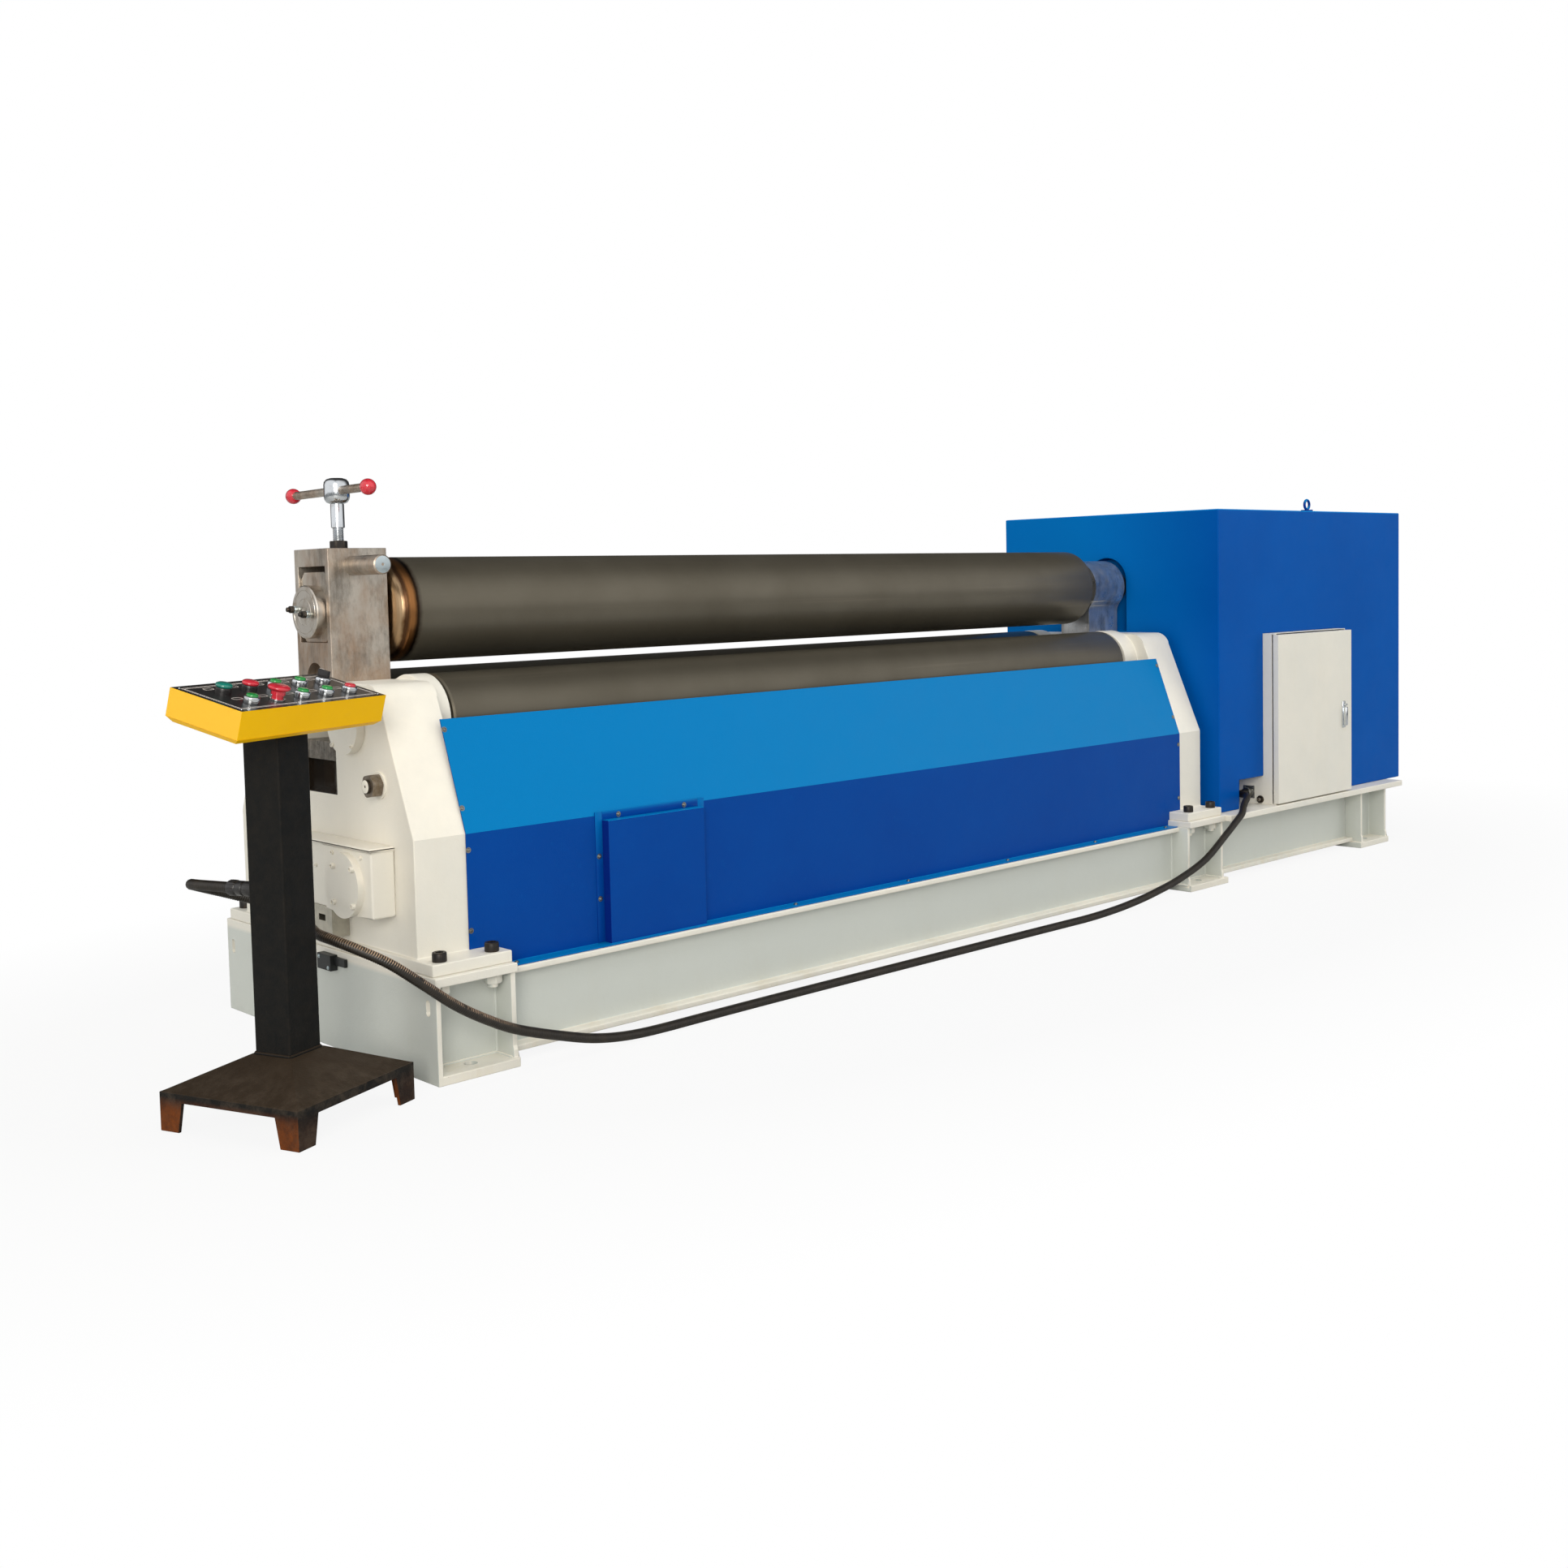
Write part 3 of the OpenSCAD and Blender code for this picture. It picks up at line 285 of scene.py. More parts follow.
def plainPlastic(name, colour, roughness, coat):
    material, tree, shader = newPaint(name)
    shade = tuple(c * 0.72 for c in colour[:3]) + (1,)
    tone = blendColours(tree, mottle(tree, 60, 4, 0.4, 0.8), colour, shade)
    rough = mottle(tree, 90, 4, 0.3, 0.7, roughness, roughness + 0.06)
    wire(tree, shader, tone, rough, relief(tree, noise(tree, 700, 2), 0.00005))
    shader.inputs["Coat Weight"].default_value = coat
    return material


def brightMetal(name, clean, dull, sharp, blurred):
    material, tree, shader = newPaint(name)
    tone = blendColours(tree, mottle(tree, 40, 4, 0.5, 0.8), clean, dull)
    wire(tree, shader, tone, mottle(tree, 120, 4, 0.3, 0.7, sharp, blurred))
    shader.inputs["Metallic"].default_value = 1
    return material


def blackOxide():
    material, tree, shader = newPaint("blackOxide")
    tone = layered(
        tree, rgb(46, 43, 41),
        (mottle(tree, 90, 5, 0.55, 0.8, 0, 0.7, 0.7), rgb(104, 76, 52)),
        (wornEdge(tree, 0.53, 0.62, 0.4), rgb(140, 124, 98)))
    wire(tree, shader, tone, mottle(tree, 60, 4, 0.3, 0.7, 0.32, 0.5))
    shader.inputs["Metallic"].default_value = 0.6
    return material


# Black pedestal paint with dry scuffs, brown dust on level faces and rust on the left of the feet
def pedestalPaint():
    material, tree, shader = newPaint("pedestalPaint")
    height, normal = placeXYZ(tree)["Z"], normalXYZ(tree)
    leftward = spread(tree, normal["X"], -0.3, -0.8, 0.1, 1)
    rust = times(tree, mottle(tree, 38, 6, 0.35, 0.6, 0.5, 1, 0.7), leftward)
    dust = mottle(tree, 26, 6, 0.45, 0.75, 0, 0.5, 0.7)
    tone = layered(
        tree, rgb(20, 21, 21),
        (mottle(tree, 16, 7, 0.6, 0.8, 0, 0.3, 0.75, (1, 1, 0.35)), rgb(40, 37, 33)),
        (spread(tree, normal["Z"], 0.3, 0.8, 0, 0.9), rgb(54, 44, 34)),
        (times(tree, spread(tree, height, 0.07, 0.14, 1, 0), dust), rgb(92, 80, 68)),
        (times(tree, spread(tree, height, 0.035, 0.068, 1, 0), rust), rgb(112, 58, 22)),
        (wornEdge(tree, 0.53, 0.6, 0.1), rgb(118, 98, 78)))
    grain = relief(tree, noise(tree, 260, 3), 0.0004)
    wire(tree, shader, tone, mottle(tree, 22, 5, 0.3, 0.7, 0.36, 0.6), grain)
    shader.inputs["Specular IOR Level"].default_value = 0.1
    return material


# Black sheath over a spiral conduit, rubbed to bare copper-brown metal on top of its ribs by the left stand;
# the bright copper on the rib tops that face up is also a painted highlight
def cableSheath():
    material, tree, shader = newPaint("cableSheath")
    turns = put(tree, "SeparateXYZ", {"Vector": put(tree, "TexCoord").outputs["UV"]}).outputs["Y"]
    crest = maths(tree, "SINE", times(tree, maths(tree, "FRACT", turns), math.pi))
    length = placeXYZ(tree)["X"]
    near = times(tree, spread(tree, length, 0.16, 0.06), spread(tree, length, -0.24, -0.12))
    # faces that look up, where the painted highlight goes
    litFromAbove = spread(tree, normalXYZ(tree)["Z"], 0.25, 0.6)
    rubbed = times(tree, mottle(tree, 60, 5, 0.36, 0.5, rough=0.6), litFromAbove)
    crestHighlight = times(tree, spread(tree, crest, 0.6, 0.95), times(tree, rubbed, near))
    dust = mottle(tree, 34, 5, 0.45, 0.75, rough=0.7)
    # the pale copper colour on the crests is partly a painted highlight
    tone = layered(tree, rgb(27, 22, 15), (dust, rgb(44, 36, 26)), (crestHighlight, rgb(240, 204, 170)))
    wire(tree, shader, tone, mottle(tree, 30, 4, 0.3, 0.7, 0.32, 0.48), metal=crestHighlight)
    return material


finishes = {
    "cream_paint": creamEnamel(),
    # blue: lit is a painted top light and left a painted shade on faces that look left
    "blue_paint": enamel("blueEnamel", rgb(0, 70, 154), rgb(0, 63, 146), rgb(4, 100, 176),
                         lit=rgb(0, 122, 187), left=rgb(8, 42, 130)),
    "chrome": brightMetal("chrome", rgb(214, 218, 222), rgb(176, 176, 174), 0.06, 0.2),
    "roll_steel": rollSteel("rollSteel"),
    "bare_steel": bareSteel("bareSteel", rgb(194, 185, 173), rgb(158, 128, 102), amount=0.85),
    "black_oxide": blackOxide(),
    "pedestal_paint": pedestalPaint(),
    # yellow: left is a painted light on faces that look left, a paler tone
    "yellow_paint": enamel("yellowEnamel", rgb(250, 194, 4), rgb(242, 184, 2), rgb(214, 158, 20), 0.36,
                           left=rgb(240, 188, 62)),
    "panel_black": plainPlastic("panelBlack", rgb(34, 32, 32), 0.34, 0.2),
    "teal_lens": plainPlastic("tealLens", rgb(8, 128, 112), 0.1, 1.0),
    "red_plastic": plainPlastic("redPlastic", rgb(216, 40, 58), 0.16, 0.9),
    "green_plastic": plainPlastic("greenPlastic", rgb(24, 148, 62), 0.18, 0.9),
    "cable_sheath": cableSheath(),
}
extras = {
    # housing: lit is a painted top light, left a painted light on faces that look left, and its fade leaves
    # a painted shadow towards the front
    "housingBlue": enamel("housingBlue", rgb(0, 84, 170), rgb(0, 77, 160), rgb(4, 104, 180),
                          lit=rgb(0, 132, 208), left=rgb(0, 112, 190), fade=(-0.46, 0.1), specular=0.04),
    "tintAndSheenRoll": rollSteel("tintAndSheenRoll", shoulderTintAndSheen),
    "zinc": brightMetal("zinc", rgb(196, 208, 212), rgb(160, 170, 172), 0.24, 0.42),
    "whiteLine": plainPlastic("whiteLine", rgb(226, 216, 208), 0.4, 0.1),
    "dullZinc": brightMetal("dullZinc", rgb(150, 150, 146), rgb(104, 100, 94), 0.28, 0.42),
    "greasyBlack": plainPlastic("greasyBlack", rgb(40, 30, 20), 0.2, 0.5),
    "nutSteel": bareSteel("nutSteel", rgb(120, 104, 84), rgb(84, 66, 48), roughness=0.3),
    "greasySteel": bareSteel("greasySteel", rgb(66, 56, 44), rgb(34, 27, 20), roughness=0.3),
    "turnedSteel": brightMetal("turnedSteel", rgb(206, 199, 189), rgb(164, 146, 124), 0.34, 0.4),
    "headSteel": bareSteel("headSteel", rgb(200, 205, 210), rgb(150, 154, 160), amount=0.7, roughness=0.3),
    "paleCup": plainPlastic("paleCup", rgb(186, 181, 166), 0.4, 0.1),
    "switchBlack": plainPlastic("switchBlack", rgb(20, 23, 24), 0.42, 0.05),
}
print("finishes made")


# Gives a form its object, finish and body, and hides the solids that it stands for. Curved faces are smooth
# up to the crease angle, if there is one.
def makePiece(name, body, slot, build, extra=None, instead=(), crease=24):
    mesh = bpy.data.meshes.new(name)
    work = bmesh.new()
    build(work)
    work.to_mesh(mesh)
    work.free()
    mesh.materials.append(extras[extra] if extra else finishes[slot])
    mesh.polygons.foreach_set("use_smooth", [True] * len(mesh.polygons))
    if crease:
        mesh.set_sharp_from_angle(angle=math.radians(crease))
    piece = bpy.data.objects.new(name, mesh)
    scene.collection.objects.link(piece)
    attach(piece, body)
    if instead:
        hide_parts(*instead)
    return piece


# A place in millimetres whose Z points along the given direction
def facing(at, axis, turn=0):
    aim = Vector(axis).to_track_quat("Z", "Y").to_matrix().to_4x4()
    return Matrix.Translation(Vector(at) * mm) @ aim @ Matrix.Rotation(math.radians(turn), 4, "Z")


def hexagon(across, corner=99):
    def radius(a):
        return min(across / 2 / math.cos((a + math.pi / 6) % (math.pi / 3) - math.pi / 6), corner)
    return radius


# Levels of a hexagon nut whose corners are chamfered at both ends
def hexBody(across, corner, chamfer, h, low=0):
    flats, ends = hexagon(across), hexagon(across, corner)
    return [(ends, low), (flats, low + chamfer), (flats, low + h - chamfer), (ends, low + h)]


def ribbed(radius, depth, count):
    return lambda a: radius - depth * (0.5 + 0.5 * math.cos(count * a))


# Rings of (radius or outline, height) joined into one closed form
def stack(work, where, levels, sides=24, closed=False):
    rings = []
    for shape, height in levels:
        ring = []
        for k in range(sides):
            a = 2 * math.pi * k / sides
            r = shape(a) if callable(shape) else shape
            ring.append(work.verts.new(where @ (Vector((r * math.cos(a), r * math.sin(a), height)) * mm)))
        rings.append(ring)
    pairs = list(zip(rings, rings[1:]))
    if closed:
        pairs.append((rings[-1], rings[0]))
    for low, high in pairs:
        for k in range(sides):
            n = (k + 1) % sides
            work.faces.new((low[k], low[n], high[n], high[k]))
    if not closed:
        work.faces.new(list(reversed(rings[0])))
        work.faces.new(rings[-1])


def socketScrew(work, at, axis, d, h, turn=0):
    r, c = d / 2, d * 0.06
    hole = hexagon(d * 0.52)
    levels = [(r, 0), (r, h - c), (r - c, h), (d * 0.33, h), (hole, h - c), (hole, h * 0.45)]
    stack(work, facing(at, axis, turn), levels)


def hexNut(work, at, axis, across, h, stud, proud, turn):
    tip = across * 0.535
    levels = [(hexagon(across, tip), 0), (hexagon(across), h * 0.12), (hexagon(across), h * 0.86),
              (hexagon(across, tip), h), (stud / 2, h), (stud / 2, h + proud - 1), (stud / 2 - 1, h + proud)]
    stack(work, facing(at, axis, turn), levels)


def panScrew(work, at, axis, d, turn=0):
    r = d / 2
    hole = hexagon(d * 0.4)
    levels = [(r * 1.5, -0.5), (r * 1.5, 0.7), (r, 0.7), (r, 0.28 * d), (r * 0.82, 0.42 * d),
              (hole, 0.46 * d), (hole, 0.2 * d)]
    stack(work, facing(at, axis, turn), levels, 18)


def edgedBox(work, low, high, edge, segments=2, where=None):
    made = bmesh.ops.create_cube(work, size=1)["verts"]
    size = Vector([(b - a) * mm for a, b in zip(low, high)])
    middle = Vector([(b + a) / 2 * mm for a, b in zip(low, high)])
    for v in made:
        v.co = Vector([v.co[i] * size[i] for i in range(3)]) + middle
        if where:
            v.co = where @ v.co
    edges = list(dict.fromkeys(e for v in made for e in v.link_edges))  # each once, in a fixed order
    bmesh.ops.bevel(work, geom=edges, offset=edge * mm, segments=segments, profile=0.5, affect="EDGES",
                    clamp_overlap=True)


# A tube along a path in millimetres, with a radius for each place on it
def runAlong(work, path, radius, sides, uv=None, turns=None):
    path = [Vector(p) * mm for p in path]
    rings = []
    last = len(path) - 1
    for i, point in enumerate(path):
        ahead = (path[min(i + 1, last)] - path[max(i - 1, 0)]).normalized()
        side = Vector((0, 0, 1)) if abs(ahead.z) < 0.95 else Vector((0, 1, 0))
        u = ahead.cross(side).normalized()
        v = u.cross(ahead)
        r = radius(i) * mm
        rings.append([work.verts.new(point + r * (math.cos(a) * u + math.sin(a) * v))
                      for a in (2 * math.pi * k / sides for k in range(sides))])
    for i in range(last):
        for k in range(sides):
            corners = ((i, k), (i, k + 1), (i + 1, k + 1), (i + 1, k))
            face = work.faces.new([rings[ring][side % sides] for ring, side in corners])
            if uv:
                for loop, (ring, side) in zip(face.loops, corners):
                    loop[uv].uv = (side / sides, turns[ring])
    work.faces.new(list(reversed(rings[0])))
    work.faces.new(rings[-1])


# Weld bead: a flattened line of overlapping puddles, 4 mm apart
def bead(work, start, end, size=4.5):
    start, end = Vector(start), Vector(end)
    count = max(2, int((end - start).length / 4))
    path = [start.lerp(end, i / count) + Vector([random.uniform(-0.25, 0.25) for _ in range(3)])
            for i in range(count + 1)]
    swell = [size * (0.86 + 0.1 * (i % 2) + random.uniform(-0.04, 0.08)) for i in range(count + 1)]
    runAlong(work, path, lambda i: swell[i] * (0.6 if i in (0, count) else 1), 7)


# Where a line first meets a solid, and that surface's direction
surfaces = {}


def meet(name, start, direction):
    if name not in surfaces:
        work = bmesh.new()
        work.from_mesh(nodes[name].data)
        surfaces[name] = BVHTree.FromBMesh(work)
        work.free()
    spot, normal, _, _ = surfaces[name].ray_cast(Vector(start) * mm, Vector(direction))
    return spot / mm, normal


# Copies of the plates, castings and sheet cases with their edges broken by these widths
softEdges = dict(
    foot_left=2.5, foot_right=2.5, end_foot=2.5, platform=2.5, beam_front=3, beam_rear=3, stand_left=3,
    stand_right=3, roll_caps=1.5, lift_gear_left=5, drain_cup=0.6, limit_switch=1.2, cover_front=1.0,
    cover_rear=1.0, gear_housing=4, cabinet=0.8, cabinet_door=0.8, bearing_head_right=1.5, lift_slide=1.2,
    drop_end_block=1.4, bearing_slide=1.5, pedestal_base=1.4, pedestal_post=5, control_box=0.5,
    control_panel=0.4, selector=1.2)
edgeRules = dict(
    weld=2e-6, flat=math.radians(0.7), sharp=math.radians(28), crisp=math.radians(14),
    shortest=8,  # edges below this length, as round a small hole, stay sharp
    broad=2.2)  # a face this many times wider than the bevel counts as broad
ownFinish = {
    "upper_roll": "tintAndSheenRoll", "gear_housing": "housingBlue", "lift_slide": "greasySteel",
    "drain_cup": "paleCup", "limit_switch": "switchBlack", "bearing_head_right": "headSteel"}


def soften(name, width, s):
    def build(work):
        work.from_mesh(nodes[name].data)
        bmesh.ops.remove_doubles(work, verts=work.verts, dist=s["weld"])
        bmesh.ops.dissolve_limit(work, angle_limit=s["flat"], verts=work.verts, edges=work.edges)
        edges = [e for e in work.edges if len(e.link_faces) == 2 and e.calc_length() > s["shortest"] * mm
                 and e.calc_face_angle(0) > s["sharp"]]
        bmesh.ops.bevel(work, geom=edges, offset=width * mm, segments=3 if width > 3 else 2, profile=0.5,
                        affect="EDGES", clamp_overlap=False)
        for e in work.edges:  # creases between broad faces stay crisp
            broad = all(f.calc_area() > s["broad"] * width * mm * e.calc_length() for f in e.link_faces)
            e.smooth = e.calc_face_angle(0) < s["crisp"] or not broad
    piece = makePiece(name + "Soft", bodyOf[name], slotOf[name], build, ownFinish.get(name), (name,), None)
    piece.modifiers.new("normals", "WEIGHTED_NORMAL").keep_sharp = True


for name, width in softEdges.items():
    soften(name, width, edgeRules)
print("edges broken on", len(softEdges), "solids")


# Cable: black sheath over spiral conduit, from the cabinet's gland along the floor to the pedestal's gland
cable = dict(
    diameter=0.022, sides=12, ribPitch=0.0048, ribDepth=0.0009, above=0.0001, steps=24,
    route=[
        (3.2357, -0.382, 0.263), (3.22, -0.382, 0.263), (3.202, -0.383, 0.263), (3.1823, -0.3886, 0.264),
        (3.1631, -0.3992, 0.266), (3.1471, -0.4142, 0.268), (3.1336, -0.4315, 0.27), (3.12, -0.449, 0.271),
        (3.1035, -0.466, 0.271), (3.0867, -0.4779, 0.269), (3.0705, -0.485, 0.265), (3.05, -0.492, 0.258),
        (3.028, -0.4995, 0.247), (2.995, -0.513, 0.228), (2.95, -0.517, 0.205), (2.9, -0.517, 0.176),
        (2.78, -0.513, 0.107), (2.64, -0.509, 0.064), (2.52, -0.506, 0.041), (2.41, -0.504, 0.026),
        (2.29, -0.502, 0.016), (2.14, -0.5, 0.011), (1.85, -0.497, 0.011), (1.5, -0.494, 0.011),
        (1.15, -0.492, 0.011), (0.85, -0.492, 0.011), (0.6, -0.496, 0.011), (0.47, -0.503, 0.016),
        (0.37, -0.509, 0.03), (0.28, -0.514, 0.054), (0.16, -0.518, 0.093), (0.08, -0.521, 0.131),
        (0.005, -0.522, 0.176), (-0.068, -0.52, 0.232), (-0.13, -0.505, 0.281), (-0.178, -0.47, 0.312),
        (-0.207, -0.425, 0.33), (-0.216, -0.375, 0.338), (-0.201, -0.309, 0.347), (-0.183, -0.248, 0.358),
        (-0.191, -0.181, 0.368), (-0.231, -0.13, 0.379), (-0.279, -0.109, 0.397), (-0.327, -0.115, 0.415),
        (-0.363, -0.141, 0.429), (-0.383, -0.181, 0.438), (-0.386, -0.225, 0.442),
        (-0.373754, -0.266637, 0.443), (-0.366457, -0.285258, 0.443), (-0.359269, -0.3036, 0.443)])


def smoothPath(points, steps):
    p = [Vector(q) for q in points]
    out = []
    for i in range(len(p) - 1):
        a, b, c, d = p[max(i - 1, 0)], p[i], p[i + 1], p[min(i + 2, len(p) - 1)]
        square, cube = 2 * a - 5 * b + 4 * c - d, 3 * b - a - 3 * c + d
        for t in (k / steps for k in range(steps)):
            out.append(0.5 * (2 * b + (c - a) * t + square * t * t + cube * t ** 3))
    return out + [p[-1]]


# Places at an even spacing along a path
def evenly(path, spacing):
    lengths = [0]
    for a, b in zip(path, path[1:]):
        lengths.append(lengths[-1] + (b - a).length)
    count = round(lengths[-1] / spacing)
    out, i = [], 0
    for k in range(count + 1):
        want = lengths[-1] * k / count
        while i < len(path) - 2 and lengths[i + 1] < want:
            i += 1
        out.append(path[i].lerp(path[i + 1], (want - lengths[i]) / max(lengths[i + 1] - lengths[i], 1e-9)))
    return out, lengths[-1]


def layCable(c):
    rings = 3  # for each rib of the conduit
    path, length = evenly(smoothPath(c["route"], c["steps"]), c["ribPitch"] / rings)
    lowest = c["diameter"] / 2 + c["above"]
    path = [Vector((p.x, p.y, max(p.z, lowest))) for p in path]
    crest, valley = c["diameter"] / 2 / mm, (c["diameter"] / 2 - c["ribDepth"]) / mm

    def build(work):
        uv = work.loops.layers.uv.new("UVMap")
        runAlong(work, [p / mm for p in path], lambda i: valley if i % rings == 0 else crest, c["sides"],
                 uv, [i / rings for i in range(len(path))])

    piece = makePiece("cableRun", "frame", "cable_sheath", build, instead=("cable",), crease=60)
    print("cable laid,", round(length, 3), "m")


layCable(cable)


# Stiffening ribs outside the webs, as deep as the bottom plates
ribs = dict(x=[178, 2752, 2945, 3882, 4061], thick=12, y=(403, 466), z=(19, 205), proud=0.3)


def ribFeet(s):
    (y0, y1), (z0, z1), proud = s["y"], s["z"], s["proud"]

    def build(work):
        for x in s["x"]:
            for near, far in ((-y1, -y0), (y0, y1)):
                edgedBox(work, (x - proud, near, z0), (x + s["thick"] + proud, far, z1), 2)
    makePiece("fullRibs", "frame", "cream_paint", build)


ribFeet(ribs)


# Socket screws of the stands' flanges, with washers and nuts below the base plates, each at its own turn
baseBolts = dict(
    x=[22, 150, 2796, 2924], y=440, top=250, below=204, head=31, height=20, flutes=24, sunk=0.4,
    washer=20, washerT=3, nut=34, nutHeight=18, stud=22, proud=9)


def boltStands(s):
    places = [(x, y) for x in s["x"] for y in (-s["y"], s["y"])]
    r, h, w, t, sunk = s["head"] / 2, s["height"], s["washer"], s["washerT"], s["sunk"]
    grip, hole = ribbed(r, 0.6, s["flutes"]), hexagon(s["head"] * 0.52)
    head = [(r - 0.8, -sunk), (grip, 1.2), (grip, h * 0.78), (r - 0.6, h * 0.82), (r - 0.6, h - 1.2),
            (r - 1.8, h), (s["head"] * 0.34, h), (hole, h - 0.8), (hole, h * 0.4)]
    washer = [(w, 0), (w, t), (w - 0.7, t + 0.6)]
    down = (0, 0, -1)

    def heads(work):
        for x, y in places:
            stack(work, facing((x, y, s["top"]), (0, 0, 1), x % 60), head, 72)

    def nuts(work):
        for x, y in places:
            stack(work, facing((x, y, s["below"] + sunk), down), washer, 28)
            hexNut(work, (x, y, s["below"] - t), down, s["nut"], s["nutHeight"], s["stud"], s["proud"],
                   x % 47)

    makePiece("baseBoltHeads", "frame", "black_oxide", heads, crease=30)
    makePiece("baseBoltNuts", "frame", "cream_paint", nuts, crease=30)


boltStands(baseBolts)


# Small screws that hold the covers to the stands and to the base, and the raised panel's flange to its cover
coverScrews = dict(
    size=8.4, turn=37, sides=[130, 2812], heights=[716, 551, 463, 290], outside=900,
    rowX=[232, 652, 1073, 1494, 1916, 2335, 2712], rowY=410, rowZ=235,
    panelX=[474, 781], panelHeights=[405, 308], panelTop=[532, 728], tabZ=495, faceAt=(474, 400),
    flangeX=(465, 485, 770, 790), flangeZ=(208, 487, 506), flangeT=1.5)


def screwCovers(s):
    def onPanel(x, z):
        return meet("cover_front", (x, -s["outside"], z), (0, 1, 0))[0]

    def screws(work):
        spots = []
        for side, name in ((-1, "cover_front"), (1, "cover_rear")):
            for x in s["sides"]:
                spots += [meet(name, (x, side * s["outside"], z), (0, -side, 0)) for z in s["heights"]]
            spots += [meet(name, (x, side * s["rowY"], s["rowZ"]), (0, 0, -1)) for x in s["rowX"]]
        tabs = [(x, z) for x in s["panelX"] for z in s["panelHeights"]]
        tabs += [(x, s["tabZ"]) for x in s["panelTop"]]
        spots += [(onPanel(x, z) - Vector((0, s["flangeT"], 0)), (0, -1, 0)) for x, z in tabs]
        for k, (spot, normal) in enumerate(spots):
            panScrew(work, spot, normal, s["size"], k * s["turn"])

    def flange(work):
        y = onPanel(*s["faceAt"]).y
        (x0, x1, x2, x3), (bottom, under, top) = s["flangeX"], s["flangeZ"]
        for start, end, low in ((x0, x1, bottom), (x2, x3, bottom), (x1, x2, under)):
            edgedBox(work, (start, y - s["flangeT"], low), (end, y + 0.5, top), 0.5)

    makePiece("coverScrews", "frame", "chrome", screws, "dullZinc", crease=30)
    makePiece("panelFlange", "frame", "blue_paint", flange)


screwCovers(coverScrews)


# Screws of the lift gear's case with its disc and neck, and of the roll caps, each at its own turn
gearScrews = dict(
    sunk=0.3, disc=dict(x=-71, size=13, height=8, at=[(-182, 434), (-262, 434), (-181, 356), (-263, 356)]),
    case=dict(x=-56, size=10, height=5, at=[(-272, 458), (-152, 458), (-150, 344)]),
    neck=dict(x=-44, size=9, height=5, at=[(-31, 447), (-55, 418), (20, 446)]),
    caps=dict(x=-20, size=10, height=5, at=[(side * y, z) for side in (1, -1) for y, z in (
        (-104, 684), (-188, 772), (-104, 772), (-188, 684))]))


def screwGear(s):
    def build(work):
        for group in (s["disc"], s["case"], s["neck"], s["caps"]):
            x = group["x"] + s["sunk"]
            for y, z in group["at"]:
                socketScrew(work, (x, y, z), (-1, 0, 0), group["size"], group["height"], z % 50)
    makePiece("gearCaseScrews", "frame", "cream_paint", build, crease=30)


screwGear(gearScrews)


# Drop end: bearing disc with grease fittings, pull bar, clamp screw with its lock nut and hub
dropEnd = dict(
    disc=(6, 0, 973), discD=118, discL=26, greasers=[(36, 979), (-20, 968)], greaserX=-20,
    pull=(60, -77, 1073), pullD=43, pullL=130, nut=(70, 0, 1112), nutAcross=34.6, nutH=18,
    screwZ=1061, screwTop=1159, threadR=11.9, pitch=3, depth=1.2, shankR=15, hubZ=1242,
    hub=[(17, -28.5), (23, -26), (27, -20), (28.4, -13), (28.4, 13), (27, 20), (22, 25.5), (14, 28),
         (5, 28.4)])


